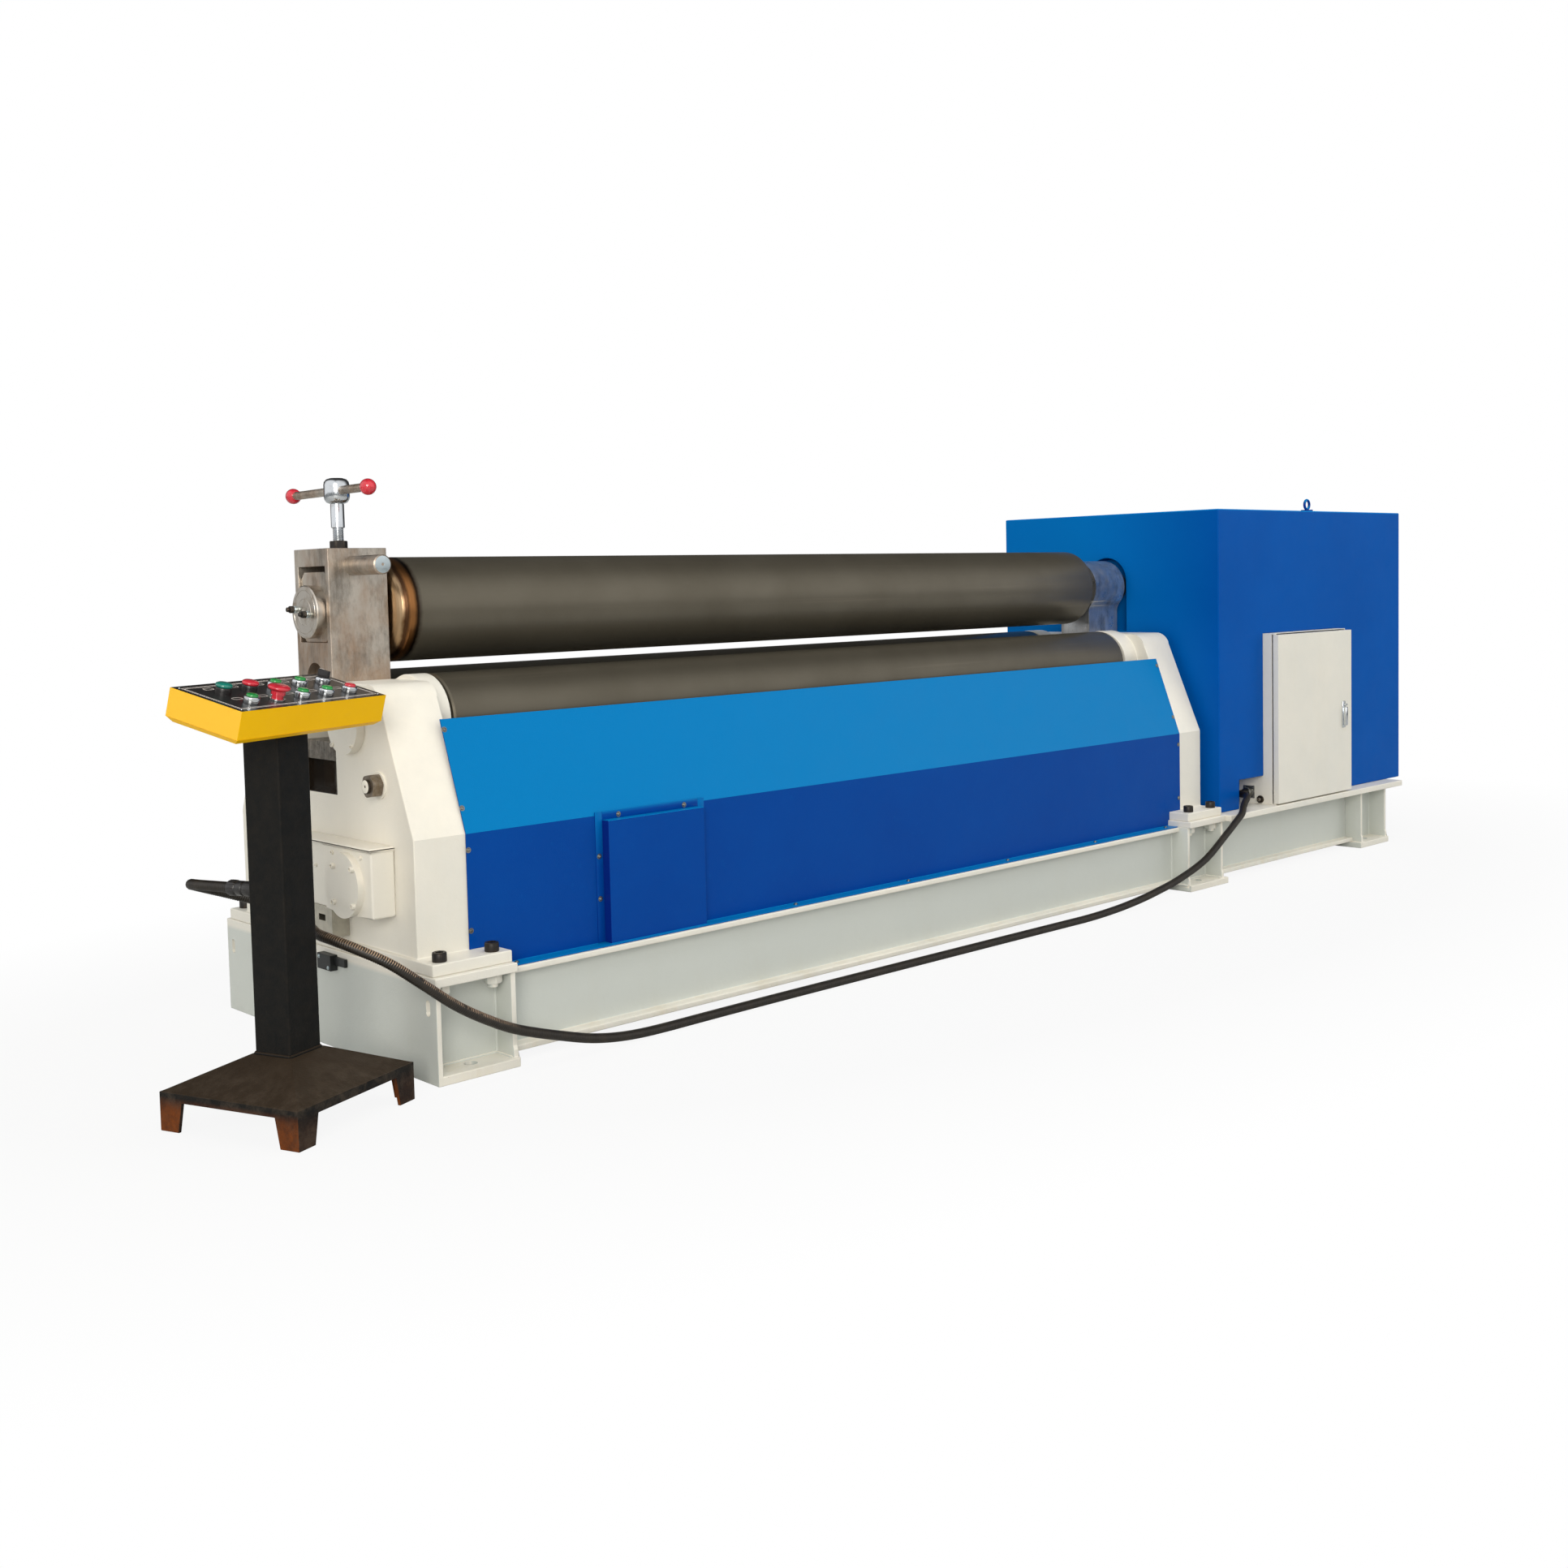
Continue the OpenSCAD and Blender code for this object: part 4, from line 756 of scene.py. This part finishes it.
def buildDropEnd(s):
    def disc(work):
        r, h = s["discD"] / 2, s["discL"]
        levels = [(r, 0), (r, h - 2.4), (r - 2.4, h), (r - 10, h), (r - 10.6, h - 0.8), (r - 11.4, h - 0.8),
                  (r - 12, h), (30, h), (29.4, h - 0.6), (28.6, h - 0.6), (28, h), (12, h), (8, h - 2.6),
                  (3, h - 4)]
        stack(work, facing(s["disc"], (-1, 0, 0)), levels, 96)

    def collars(work):
        levels = [(8, 0), (8, 7), (6.6, 8.5), (6.6, 12)]
        for y, z in s["greasers"]:
            stack(work, facing((s["greaserX"] + 0.5, y, z), (-1, 0, 0)), levels)

    def fittings(work):
        levels = [(hexagon(14), 0), (hexagon(14), 9), (hexagon(14, 7.2), 10), (4.6, 10), (4.6, 13),
                  (5.6, 14.5), (4.6, 16), (2, 16.6)]
        for y, z in s["greasers"]:
            stack(work, facing((s["greaserX"] - 8, y, z), (-1, 0, 0), 12), levels)

    def pull(work):
        r, end = s["pullD"] / 2, s["pullL"]
        levels = [(r, 0), (r, end - 2.6), (r - 2.6, end - 0.4), (r - 3, end - 0.4)]
        stack(work, facing(s["pull"], (0, -1, 0)), levels, 48)

    def pullFace(work):
        x, y, z = s["pull"]
        r = s["pullD"] / 2 - 3
        levels = [(r, 0), (r, 0.8), (r - 0.6, 1), (3.4, 1), (1, -1.4)]
        stack(work, facing((x, y - s["pullL"] + 1, z), (0, -1, 0)), levels, 48)

    def nut(work):
        a, h = s["nutAcross"], s["nutH"]
        levels = hexBody(a, a * 0.54, 1.6, h) + [(s["threadR"] + 0.4, h)]
        stack(work, facing(s["nut"], (0, 0, 1), 12), levels, 48)

    def screw(work):
        x, y, _ = s["nut"]
        crest, root, shank, top = s["threadR"], s["threadR"] - s["depth"], s["shankR"], s["screwTop"]
        levels, z, hub = [], s["screwZ"], s["hubZ"]
        while z < top - s["pitch"]:
            levels += [(root, z), (crest, z + s["pitch"] * 0.4), (crest, z + s["pitch"] * 0.6)]
            z += s["pitch"]
        levels += [(root, z), (shank - 1, top), (shank, top + 1), (shank, hub - 31),
                   (shank - 0.4, hub - 29.5)]
        levels += [(r, hub + h) for r, h in s["hub"]]
        stack(work, facing((x, y, 0), (0, 0, 1)), levels, 48)

    cap, bar = bodyOf["bearing_cap"], bodyOf["pull_bar"]
    makePiece("bearingDisc", cap, "bare_steel", disc, "turnedSteel", ("bearing_cap",), 30)
    makePiece("greaseCollars", cap, "bare_steel", collars, "zinc", crease=30)
    makePiece("greaseFittings", cap, "black_oxide", fittings, crease=30)
    makePiece("pullBarTurned", bar, "bare_steel", pull, instead=("pull_bar",), crease=30)
    makePiece("pullBarFace", bar, "bare_steel", pullFace, "zinc", crease=30)
    makePiece("lockNutFaceted", bodyOf["lock_nut"], slotOf["lock_nut"], nut, None, ("lock_nut",), 30)
    makePiece("clampScrewThreaded", bodyOf["clamp_screw"], "chrome", screw, None, ("clamp_screw",), 40)


buildDropEnd(dropEnd)


# Washers and hexagon nuts on the tie rods, with the rods' ends
tieNuts = dict(washerR=30, washerT=4, across=45.9, height=24, proud=7)


def nutTies(s):
    low, high = (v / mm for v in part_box("tie_rods"))
    rod = (high.z - low.z) / 2
    z, y = (high.z + low.z) / 2, high.y - rod
    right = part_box("stand_right")[1].x / mm
    places = []
    for side in (-1, 1):
        places += [facing((x, side * y, z), (axis, 0, 0), 20 * side) for x, axis in ((0, -1), (right, 1))]
    w, t, a, top = s["washerR"], s["washerT"], s["across"], s["washerT"] + s["height"]
    tip = top + s["proud"]

    def nutsOn(work):
        for where in places:
            stack(work, where, hexBody(a, a * 0.54, 2, s["height"], t) + [(rod + 0.6, top)], 48)

    def washers(work):
        for where in places:
            stack(work, where, [(w, 0), (w, t - 0.8), (w - 0.8, t)], 48)

    def tips(work):
        levels = [(rod - 1, top), (rod - 1, tip - 0.6), (rod - 2.2, tip), (4, tip), (2, tip - 2)]
        for where in places:
            stack(work, where, levels, 32)

    nuts = bodyOf["tie_nuts"]
    makePiece("tieNutsFaceted", nuts, slotOf["tie_nuts"], nutsOn, "nutSteel", ("tie_nuts",), 30)
    makePiece("tieWashers", nuts, "cream_paint", washers, crease=30)
    makePiece("tieRodTips", bodyOf["tie_rods"], "cream_paint", tips, crease=30)


nutTies(tieNuts)


# Grease-blackened lining of the left stand's slot, below the lift slide
slotLining = dict(x=(2, 141), back=(52, 54), y=77, z=(570, 644), t=1)


def lineSlot(s):
    (x0, x1), (z0, z1), y, t = s["x"], s["z"], s["y"], s["t"]

    def build(work):
        for side in (-1, 1):
            edgedBox(work, (x0, side * y - t, z0), (x1, side * y + t, z1), 0.3, 1)
        edgedBox(work, (x0, -y, z0 - t), (x1, y, z0 + t), 0.3, 1)
        edgedBox(work, (s["back"][0], -y, z0), (s["back"][1], y, z1), 0.3, 1)
    makePiece("slotGrease", "frame", "black_oxide", build, "greasyBlack")


lineSlot(slotLining)


# Two small screws on the limit switch, and screws on the right bearing head
smallScrews = dict(
    switchX=-30, switch=[(-62, 187), (-22, 208)], switchD=6,
    headX=2964, head=[(-40, 1035), (40, 1035), (-40, 912), (40, 912)], headD=13, headH=7, sunk=0.3)


def screwSmall(s):
    def switch(work):
        for y, z in s["switch"]:
            panScrew(work, (s["switchX"], y, z), (-1, 0, 0), s["switchD"])

    def head(work):
        for y, z in s["head"]:
            socketScrew(work, (s["headX"] - s["sunk"], y, z), (1, 0, 0), s["headD"], s["headH"])

    makePiece("switchScrews", "frame", "chrome", switch, "zinc", crease=30)
    makePiece("headScrews", bodyOf["bearing_head_right"], "black_oxide", head, crease=30)


screwSmall(smallScrews)


# A place in metres, turned about the upright and then tipped
def standing(at, yaw, tip=0):
    turn = Matrix.Rotation(math.radians(yaw), 4, "Z") @ Matrix.Rotation(math.radians(tip), 4, "X")
    return Matrix.Translation(at) @ turn


pedestal = standing((-0.304, -0.409, 0), 21.4)
panel = standing((-0.2875, -0.4173, 0.8273), 23.5, 15)


# Weld beads of the base's pockets and of the pedestal's post
welds = dict(web=405, feet=[(0, 178), (2764, 2945)], platform=(3260, 3882), bottom=20, top=204, toe=465,
             ribs=[178, 190, 2752, 2764, 2945, 2957, 0], post=44, postZ=129)


def weldBase(s):
    bottom, top = s["bottom"], s["top"]

    def build(work):
        for side in (-1, 1):
            y = side * s["web"]
            for x0, x1 in s["feet"]:
                bead(work, (x0, y, top), (x1, y, top))
                bead(work, (x0, y, bottom), (x1, y, bottom))
            for x in s["ribs"]:
                bead(work, (x, y, bottom), (x, y, top))
                bead(work, (x, y, bottom), (x, side * s["toe"], bottom))
            x0, x1 = s["platform"]
            bead(work, (x0, y, top), (x1, y, top))

    def post(work):
        p = s["post"]
        corners = [(-p, -p), (p, -p), (p, p), (-p, p)]
        for (x0, y0), (x1, y1) in zip(corners, corners[1:] + corners[:1]):
            ends = [pedestal @ (Vector((x, y, s["postZ"])) * mm) / mm for x, y in ((x0, y0), (x1, y1))]
            bead(work, *ends, 4)

    makePiece("baseWelds", "frame", "cream_paint", build, crease=60)
    makePiece("postWelds", bodyOf["pedestal_post"], "pedestal_paint", post, crease=60)


weldBase(welds)


# Control panel: border lines, blank legend plates, bezels, lenses, caps, mushroom head and selector's mark.
# Buttons are numbered from the rear left one; columns and rows give their middles.
controls = dict(
    columns=[-143, -71.5, 0, 71.5, 143], rows=[22, -45], half=(204, 77), rim=7,
    borders=[(6, 1.4), (10, 1.0)],
    ovals=[(-146, 54), (-80, 54), (-8, 54), (65, 54), (147, 54),
           (-144, -13), (-75, -13), (-2, -13), (68, -13), (143, -13)],
    oval=(25, 12), ovalLine=1.2, sunk=-0.2, raised=0.3, screws=(200.3, 73.3), screwD=4,
    caps={"button_1": 2, "button_2": 3, "button_3": 5, "button_4": 7, "button_5": 8, "button_red": 9},
    lamps={"lamp_teal": 0, "lamp_red": 1}, stop=6, selector=4, mark=((-0.9, 0, 28.6), (0.9, 12.6, 29.3)),
    bezel=[(11.05, 0), (14.6, 0), (15, 1), (15, 11), (14.2, 13.2), (13, 14), (12, 14), (11.2, 12.8),
           (11.05, 10)],
    lowBezel=[(11.05, 0), (14.6, 0), (15, 1), (15, 4), (14, 4), (11.05, 3.6)],
    sleeve=[(14.9, 0), (15, 11), (14, 12.4), (12, 12.6), (11, 12)],
    cap=[(10.9, 0), (10.9, 15.8), (10.3, 17.4), (8.4, 18.5), (5, 18.9), (2, 19)],
    lens=[(10.9, 0), (10.9, 12.8), (15, 13.2), (16, 14.6), (16, 17), (15, 19), (12, 20.6), (7, 21.6),
          (2, 21.8)],
    mushroom=[(10.9, 0), (10.9, 11), (13.4, 12), (13.4, 19), (17.5, 20.6), (20.6, 23), (21.2, 25),
              (20.8, 27), (18.4, 29.2), (13, 30.6), (4, 31)])


def oval(length, height):
    r = height / 2
    half = length / 2 - r

    def radius(a):
        c, s = abs(math.cos(a)), abs(math.sin(a))
        if s * half >= r * c:
            return r / s
        return half * c + math.sqrt(max(r * r - half * half * s * s, 0))
    return radius


def buildControls(s):
    body = bodyOf["control_panel"]
    low, high = s["sunk"], s["raised"]

    def onPanel(x, y):
        return panel @ Matrix.Translation(Vector((x, y, 0)) * mm)

    def at(number):
        return onPanel(s["columns"][number % 5], s["rows"][number // 5])

    def strip(work, x0, y0, x1, y1):
        edgedBox(work, (x0, y0, low), (x1, y1, high), 0.1, 1, panel)

    def borders(work):
        for inset, width in s["borders"]:
            x, y, w = s["half"][0] - inset, s["half"][1] - inset, width / 2
            for side in (-1, 1):
                strip(work, -x, side * y - w, x, side * y + w)
                strip(work, side * x - w, -y, side * x + w, y)

    def rim(work):
        (x, y), w = s["half"], s["rim"]
        for side in (-1, 1):
            inner, outer = sorted((side * y, side * (y + w)))
            strip(work, -x - w, inner, x + w, outer)
            inner, outer = sorted((side * x, side * (x + w)))
            strip(work, inner, -y, outer, y)

    def legends(work):
        (length, height), line = s["oval"], s["ovalLine"]
        outer, inner = oval(length, height), oval(length - 2 * line, height - 2 * line)
        levels = [(outer, -0.1), (outer, high), (inner, high), (inner, -0.1)]
        for x, y in s["ovals"]:
            stack(work, onPanel(x, y), levels, 48, closed=True)

    def bezels(work):
        for number in range(2, 10):
            stack(work, at(number), s["lowBezel"] if number == s["stop"] else s["bezel"], 48, closed=True)

    def sleeves(work):
        for number in s["lamps"].values():
            stack(work, at(number), s["sleeve"], 48)

    def mark(work):
        edgedBox(work, *s["mark"], 0.2, 1, at(s["selector"]))

    def screws(work):
        x, y = s["screws"]
        for cornerX, cornerY in ((-x, -y), (-x, y), (x, -y), (x, y)):
            spot = panel @ (Vector((cornerX, cornerY, 0)) * mm) / mm
            panScrew(work, spot, panel.to_3x3() @ Vector((0, 0, 1)), s["screwD"])

    makePiece("panelBorders", body, "panel_black", borders, "whiteLine")
    makePiece("panelRim", body, "panel_black", rim)
    makePiece("legendPlates", body, "panel_black", legends, "whiteLine")
    makePiece("panelScrews", body, "chrome", screws, crease=30)
    makePiece("bezelsTurned", bodyOf["button_rings"], "chrome", bezels, instead=("button_rings",), crease=40)
    makePiece("lampSleeves", body, "panel_black", sleeves, crease=40)
    makePiece("selectorMark", bodyOf["selector"], "panel_black", mark, "whiteLine")
    turned = [(name, number, s["cap"]) for name, number in s["caps"].items()]
    turned += [(name, number, s["lens"]) for name, number in s["lamps"].items()]
    turned += [("stop_button", s["stop"], s["mushroom"])]
    for name, number, profile in turned:
        makePiece(name + "Domed", bodyOf[name], slotOf[name],
                  lambda work: stack(work, at(number), profile, 48), instead=(name,), crease=40)


buildControls(controls)


# Cable glands: hexagon nut, knurled body and ribbed tip
knurl, tipRibs, wallKnurl = ribbed(15, 0.9, 24), ribbed(16, 1, 18), ribbed(17, 0.9, 24)
glands = dict(
    post=hexBody(31.2, 16.8, 1.4, 12) + [
        (13.6, 12), (13.6, 15), (knurl, 16.5), (knurl, 33), (13.4, 34.5), (13.4, 37), (14.8, 38.5),
        (14.8, 52), (13.4, 54), (tipRibs, 57), (tipRibs, 71), (14.6, 74), (11.4, 74)],
    cabinet=hexBody(34.6, 18.8, 1.2, 8) + [
        (15.6, 8), (15.6, 9.6), (wallKnurl, 11), (wallKnurl, 20.5), (15, 24), (11.4, 24)],
    postAt=(-13, 44, 443), cabinetAt=(3260, -382, 263))


def buildGlands(s):
    side = pedestal.to_3x3() @ Vector((0, 1, 0))
    start = pedestal @ (Vector(s["postAt"]) * mm) / mm
    rows = [("post_gland", start, side, s["post"], None),
            ("cabinet_gland", s["cabinetAt"], (-1, 0, 0), s["cabinet"], "dullZinc")]
    for name, at, axis, levels, own in rows:
        makePiece(name + "Turned", bodyOf[name], slotOf[name],
                  lambda work: stack(work, facing(at, axis), levels, 72), own, (name,), 40)


buildGlands(glands)


# Connector plate and grommet beside the cabinet's gland
fitting = dict(
    face=3260, y=(-403, -361), z=(242, 284), thick=3, screws=15.5, screwD=5, grommet=(-425, 240), collar=13,
    stub=6)


def fitConnector(s):
    (y0, y1), (z0, z1), x = s["y"], s["z"], s["face"]
    y, z = (y0 + y1) / 2, (z0 + z1) / 2

    def plate(work):
        edgedBox(work, (x - s["thick"], y0, z0), (x + 0.5, y1, z1), 0.8)
        for dy in (-s["screws"], s["screws"]):
            for dz in (-s["screws"], s["screws"]):
                panScrew(work, (x - s["thick"], y + dy, z + dz), (-1, 0, 0), s["screwD"])

    def grommet(work):
        r = s["collar"]
        levels = [(r, 0), (r, 3.5), (r - 1.2, 5), (r - 4, 5), (r - 5, 2)]
        stack(work, facing((x + 0.5, *s["grommet"]), (-1, 0, 0)), levels, 32)

    def stub(work):
        r = s["stub"]
        levels = [(r, 0), (r, 13), (r - 1, 14), (r - 3, 14), (r - 3.4, 12)]
        stack(work, facing((x, *s["grommet"]), (-1, 0, 0)), levels)

    makePiece("connectorPlate", "frame", "chrome", plate, "dullZinc", crease=30)
    makePiece("wallGrommet", "frame", "black_oxide", grommet, crease=40)
    makePiece("wallStub", "frame", "bare_steel", stub, "nutSteel", crease=40)


fitConnector(fitting)


# Door handle: rounded back plate, lever and lock
doorHandle = dict(
    plate=((3690, -498, 455), (3710, -494, 549)), lever=((3693, -510, 463), (3707, -497, 529)),
    lock=(3700, -497, 537),
    lockLevels=[(5.4, 0), (5.4, 2), (4, 2.4), (4, 11), (3.4, 12), (1.6, 12), (1.4, 9)])


def buildHandle(s):
    def build(work):
        edgedBox(work, *s["plate"], 1.7, 3)
        edgedBox(work, *s["lever"], 3.6, 3)
        stack(work, facing(s["lock"], (0, -1, 0)), s["lockLevels"], 32)
    name = "door_handle"
    makePiece("doorHandleRounded", bodyOf[name], slotOf[name], build, instead=(name,), crease=40)


buildHandle(doorHandle)
print("details built")

# The other solids keep their own shape, under their finish
for name, node in nodes.items():
    node.data.materials.clear()
    node.data.materials.append(extras[ownFinish[name]] if name in ownFinish else finishes[slotOf[name]])
print("solids finished")


# Pale floor that keeps a faint shadow, white backdrop, and soft lamps
studio = dict(
    floor=rgb(206, 205, 202), floorSize=160, floorRough=0.9, middle=(1.9, 0, 0), squeeze=(1, 2.2, 1),
    shadow=0.1, shadowFrom=2.6, shadowTo=4.2,
    sky=(0.9, 0.96, 1.0, 1), ambient=0.36, bright=1.0, dark=0.05, front=(0.0, -0.78), left=(-0.1, -0.6),
    lamps=[("key", (-5.5, -7.0, 3.4), (1.2, 0, 0.7), 4.0, 475, (1, 0.965, 0.9), True),
           ("top", (1.6, -2.4, 6.2), (1.6, 0, 0.5), 5.0, 150, (1, 0.98, 0.94), False),
           ("left", (-8.0, 0.5, 2.5), (0, 0, 0.6), 4.0, 140, (1, 0.98, 0.95), False),
           ("rear", (3.0, 6.0, 3.0), (1.8, 0, 0.8), 5.0, 120, (1, 1, 1), False),
           ("right", (7.5, -4.0, 2.6), (3.2, 0, 0.6), 4.0, 105, (1, 1, 0.98), False)])


# The floor is white to the eye except near the machine, where a little of its shadow shows
def layFloor(s):
    bpy.ops.mesh.primitive_plane_add(size=s["floorSize"], location=(0, 0, 0))
    floor = bpy.context.object
    floor.name = "studioFloor"
    material, tree, shader = newPaint("floor")
    shader.inputs["Base Color"].default_value = s["floor"]
    shader.inputs["Roughness"].default_value = s["floorRough"]
    spot = put(tree, "NewGeometry").outputs["Position"]
    spot = put(tree, "VectorMath", {0: spot, 1: s["squeeze"]}, operation="MULTIPLY").outputs["Vector"]
    far = put(tree, "VectorMath", {0: spot, 1: s["middle"]}, operation="DISTANCE").outputs["Value"]
    white = spread(tree, far, s["shadowFrom"], s["shadowTo"], 1 - s["shadow"], 1)
    white = times(tree, white, put(tree, "LightPath").outputs["Is Camera Ray"])
    glow = put(tree, "Emission", {"Color": (1, 1, 1, 1), "Strength": 1.0})
    mix = put(tree, "MixShader", {"Fac": white, 1: shader.outputs["BSDF"], 2: glow.outputs["Emission"]})
    tree.links.new(mix.outputs["Shader"], tree.nodes["Material Output"].inputs["Surface"])
    floor.data.materials.append(material)


# The sky is white to the eye, soft and faintly blue as light, and bright at the front and left in mirrors
def lightSky(s):
    world = bpy.data.worlds.new("studio")
    world.use_nodes = True
    tree = world.node_tree
    path = put(tree, "LightPath").outputs
    toward = put(tree, "SeparateXYZ", {"Vector": put(tree, "TexCoord").outputs["Generated"]}).outputs
    walls = []
    for axis, (start, end) in (("Y", s["front"]), ("X", s["left"])):
        inputs = {"Value": toward[axis], "From Min": start, "From Max": end}
        walls.append(put(tree, "MapRange", inputs, interpolation_type="SMOOTHSTEP").outputs["Result"])
    mirrored = spread(tree, maths(tree, "MAXIMUM", *walls), 0, 1, s["dark"], s["bright"])
    light = spread(tree, path["Is Glossy Ray"], 0, 1, s["ambient"], mirrored)
    shown = maths(tree, "MAXIMUM", path["Is Camera Ray"], path["Is Transmission Ray"])
    plain = maths(tree, "MAXIMUM", shown, path["Is Glossy Ray"])
    background = tree.nodes["Background"].inputs
    tree.links.new(spread(tree, shown, 0, 1, light, 1.0), background["Strength"])
    tree.links.new(blendColours(tree, plain, s["sky"], (1, 1, 1, 1)), background["Color"])
    scene.world = world


def hangLamps(s):
    for name, at, aim, size, power, hue, mirrored in s["lamps"]:
        data = bpy.data.lights.new(name, "AREA")
        data.size, data.energy, data.color = size, power, hue
        lamp = bpy.data.objects.new(name, data)
        lamp.location = at
        lamp.rotation_euler = (Vector(aim) - Vector(at)).to_track_quat("-Z", "Y").to_euler()
        lamp.visible_glossy = mirrored
        scene.collection.objects.link(lamp)


layFloor(studio)
lightSky(studio)
hangLamps(studio)
print("studio lit")
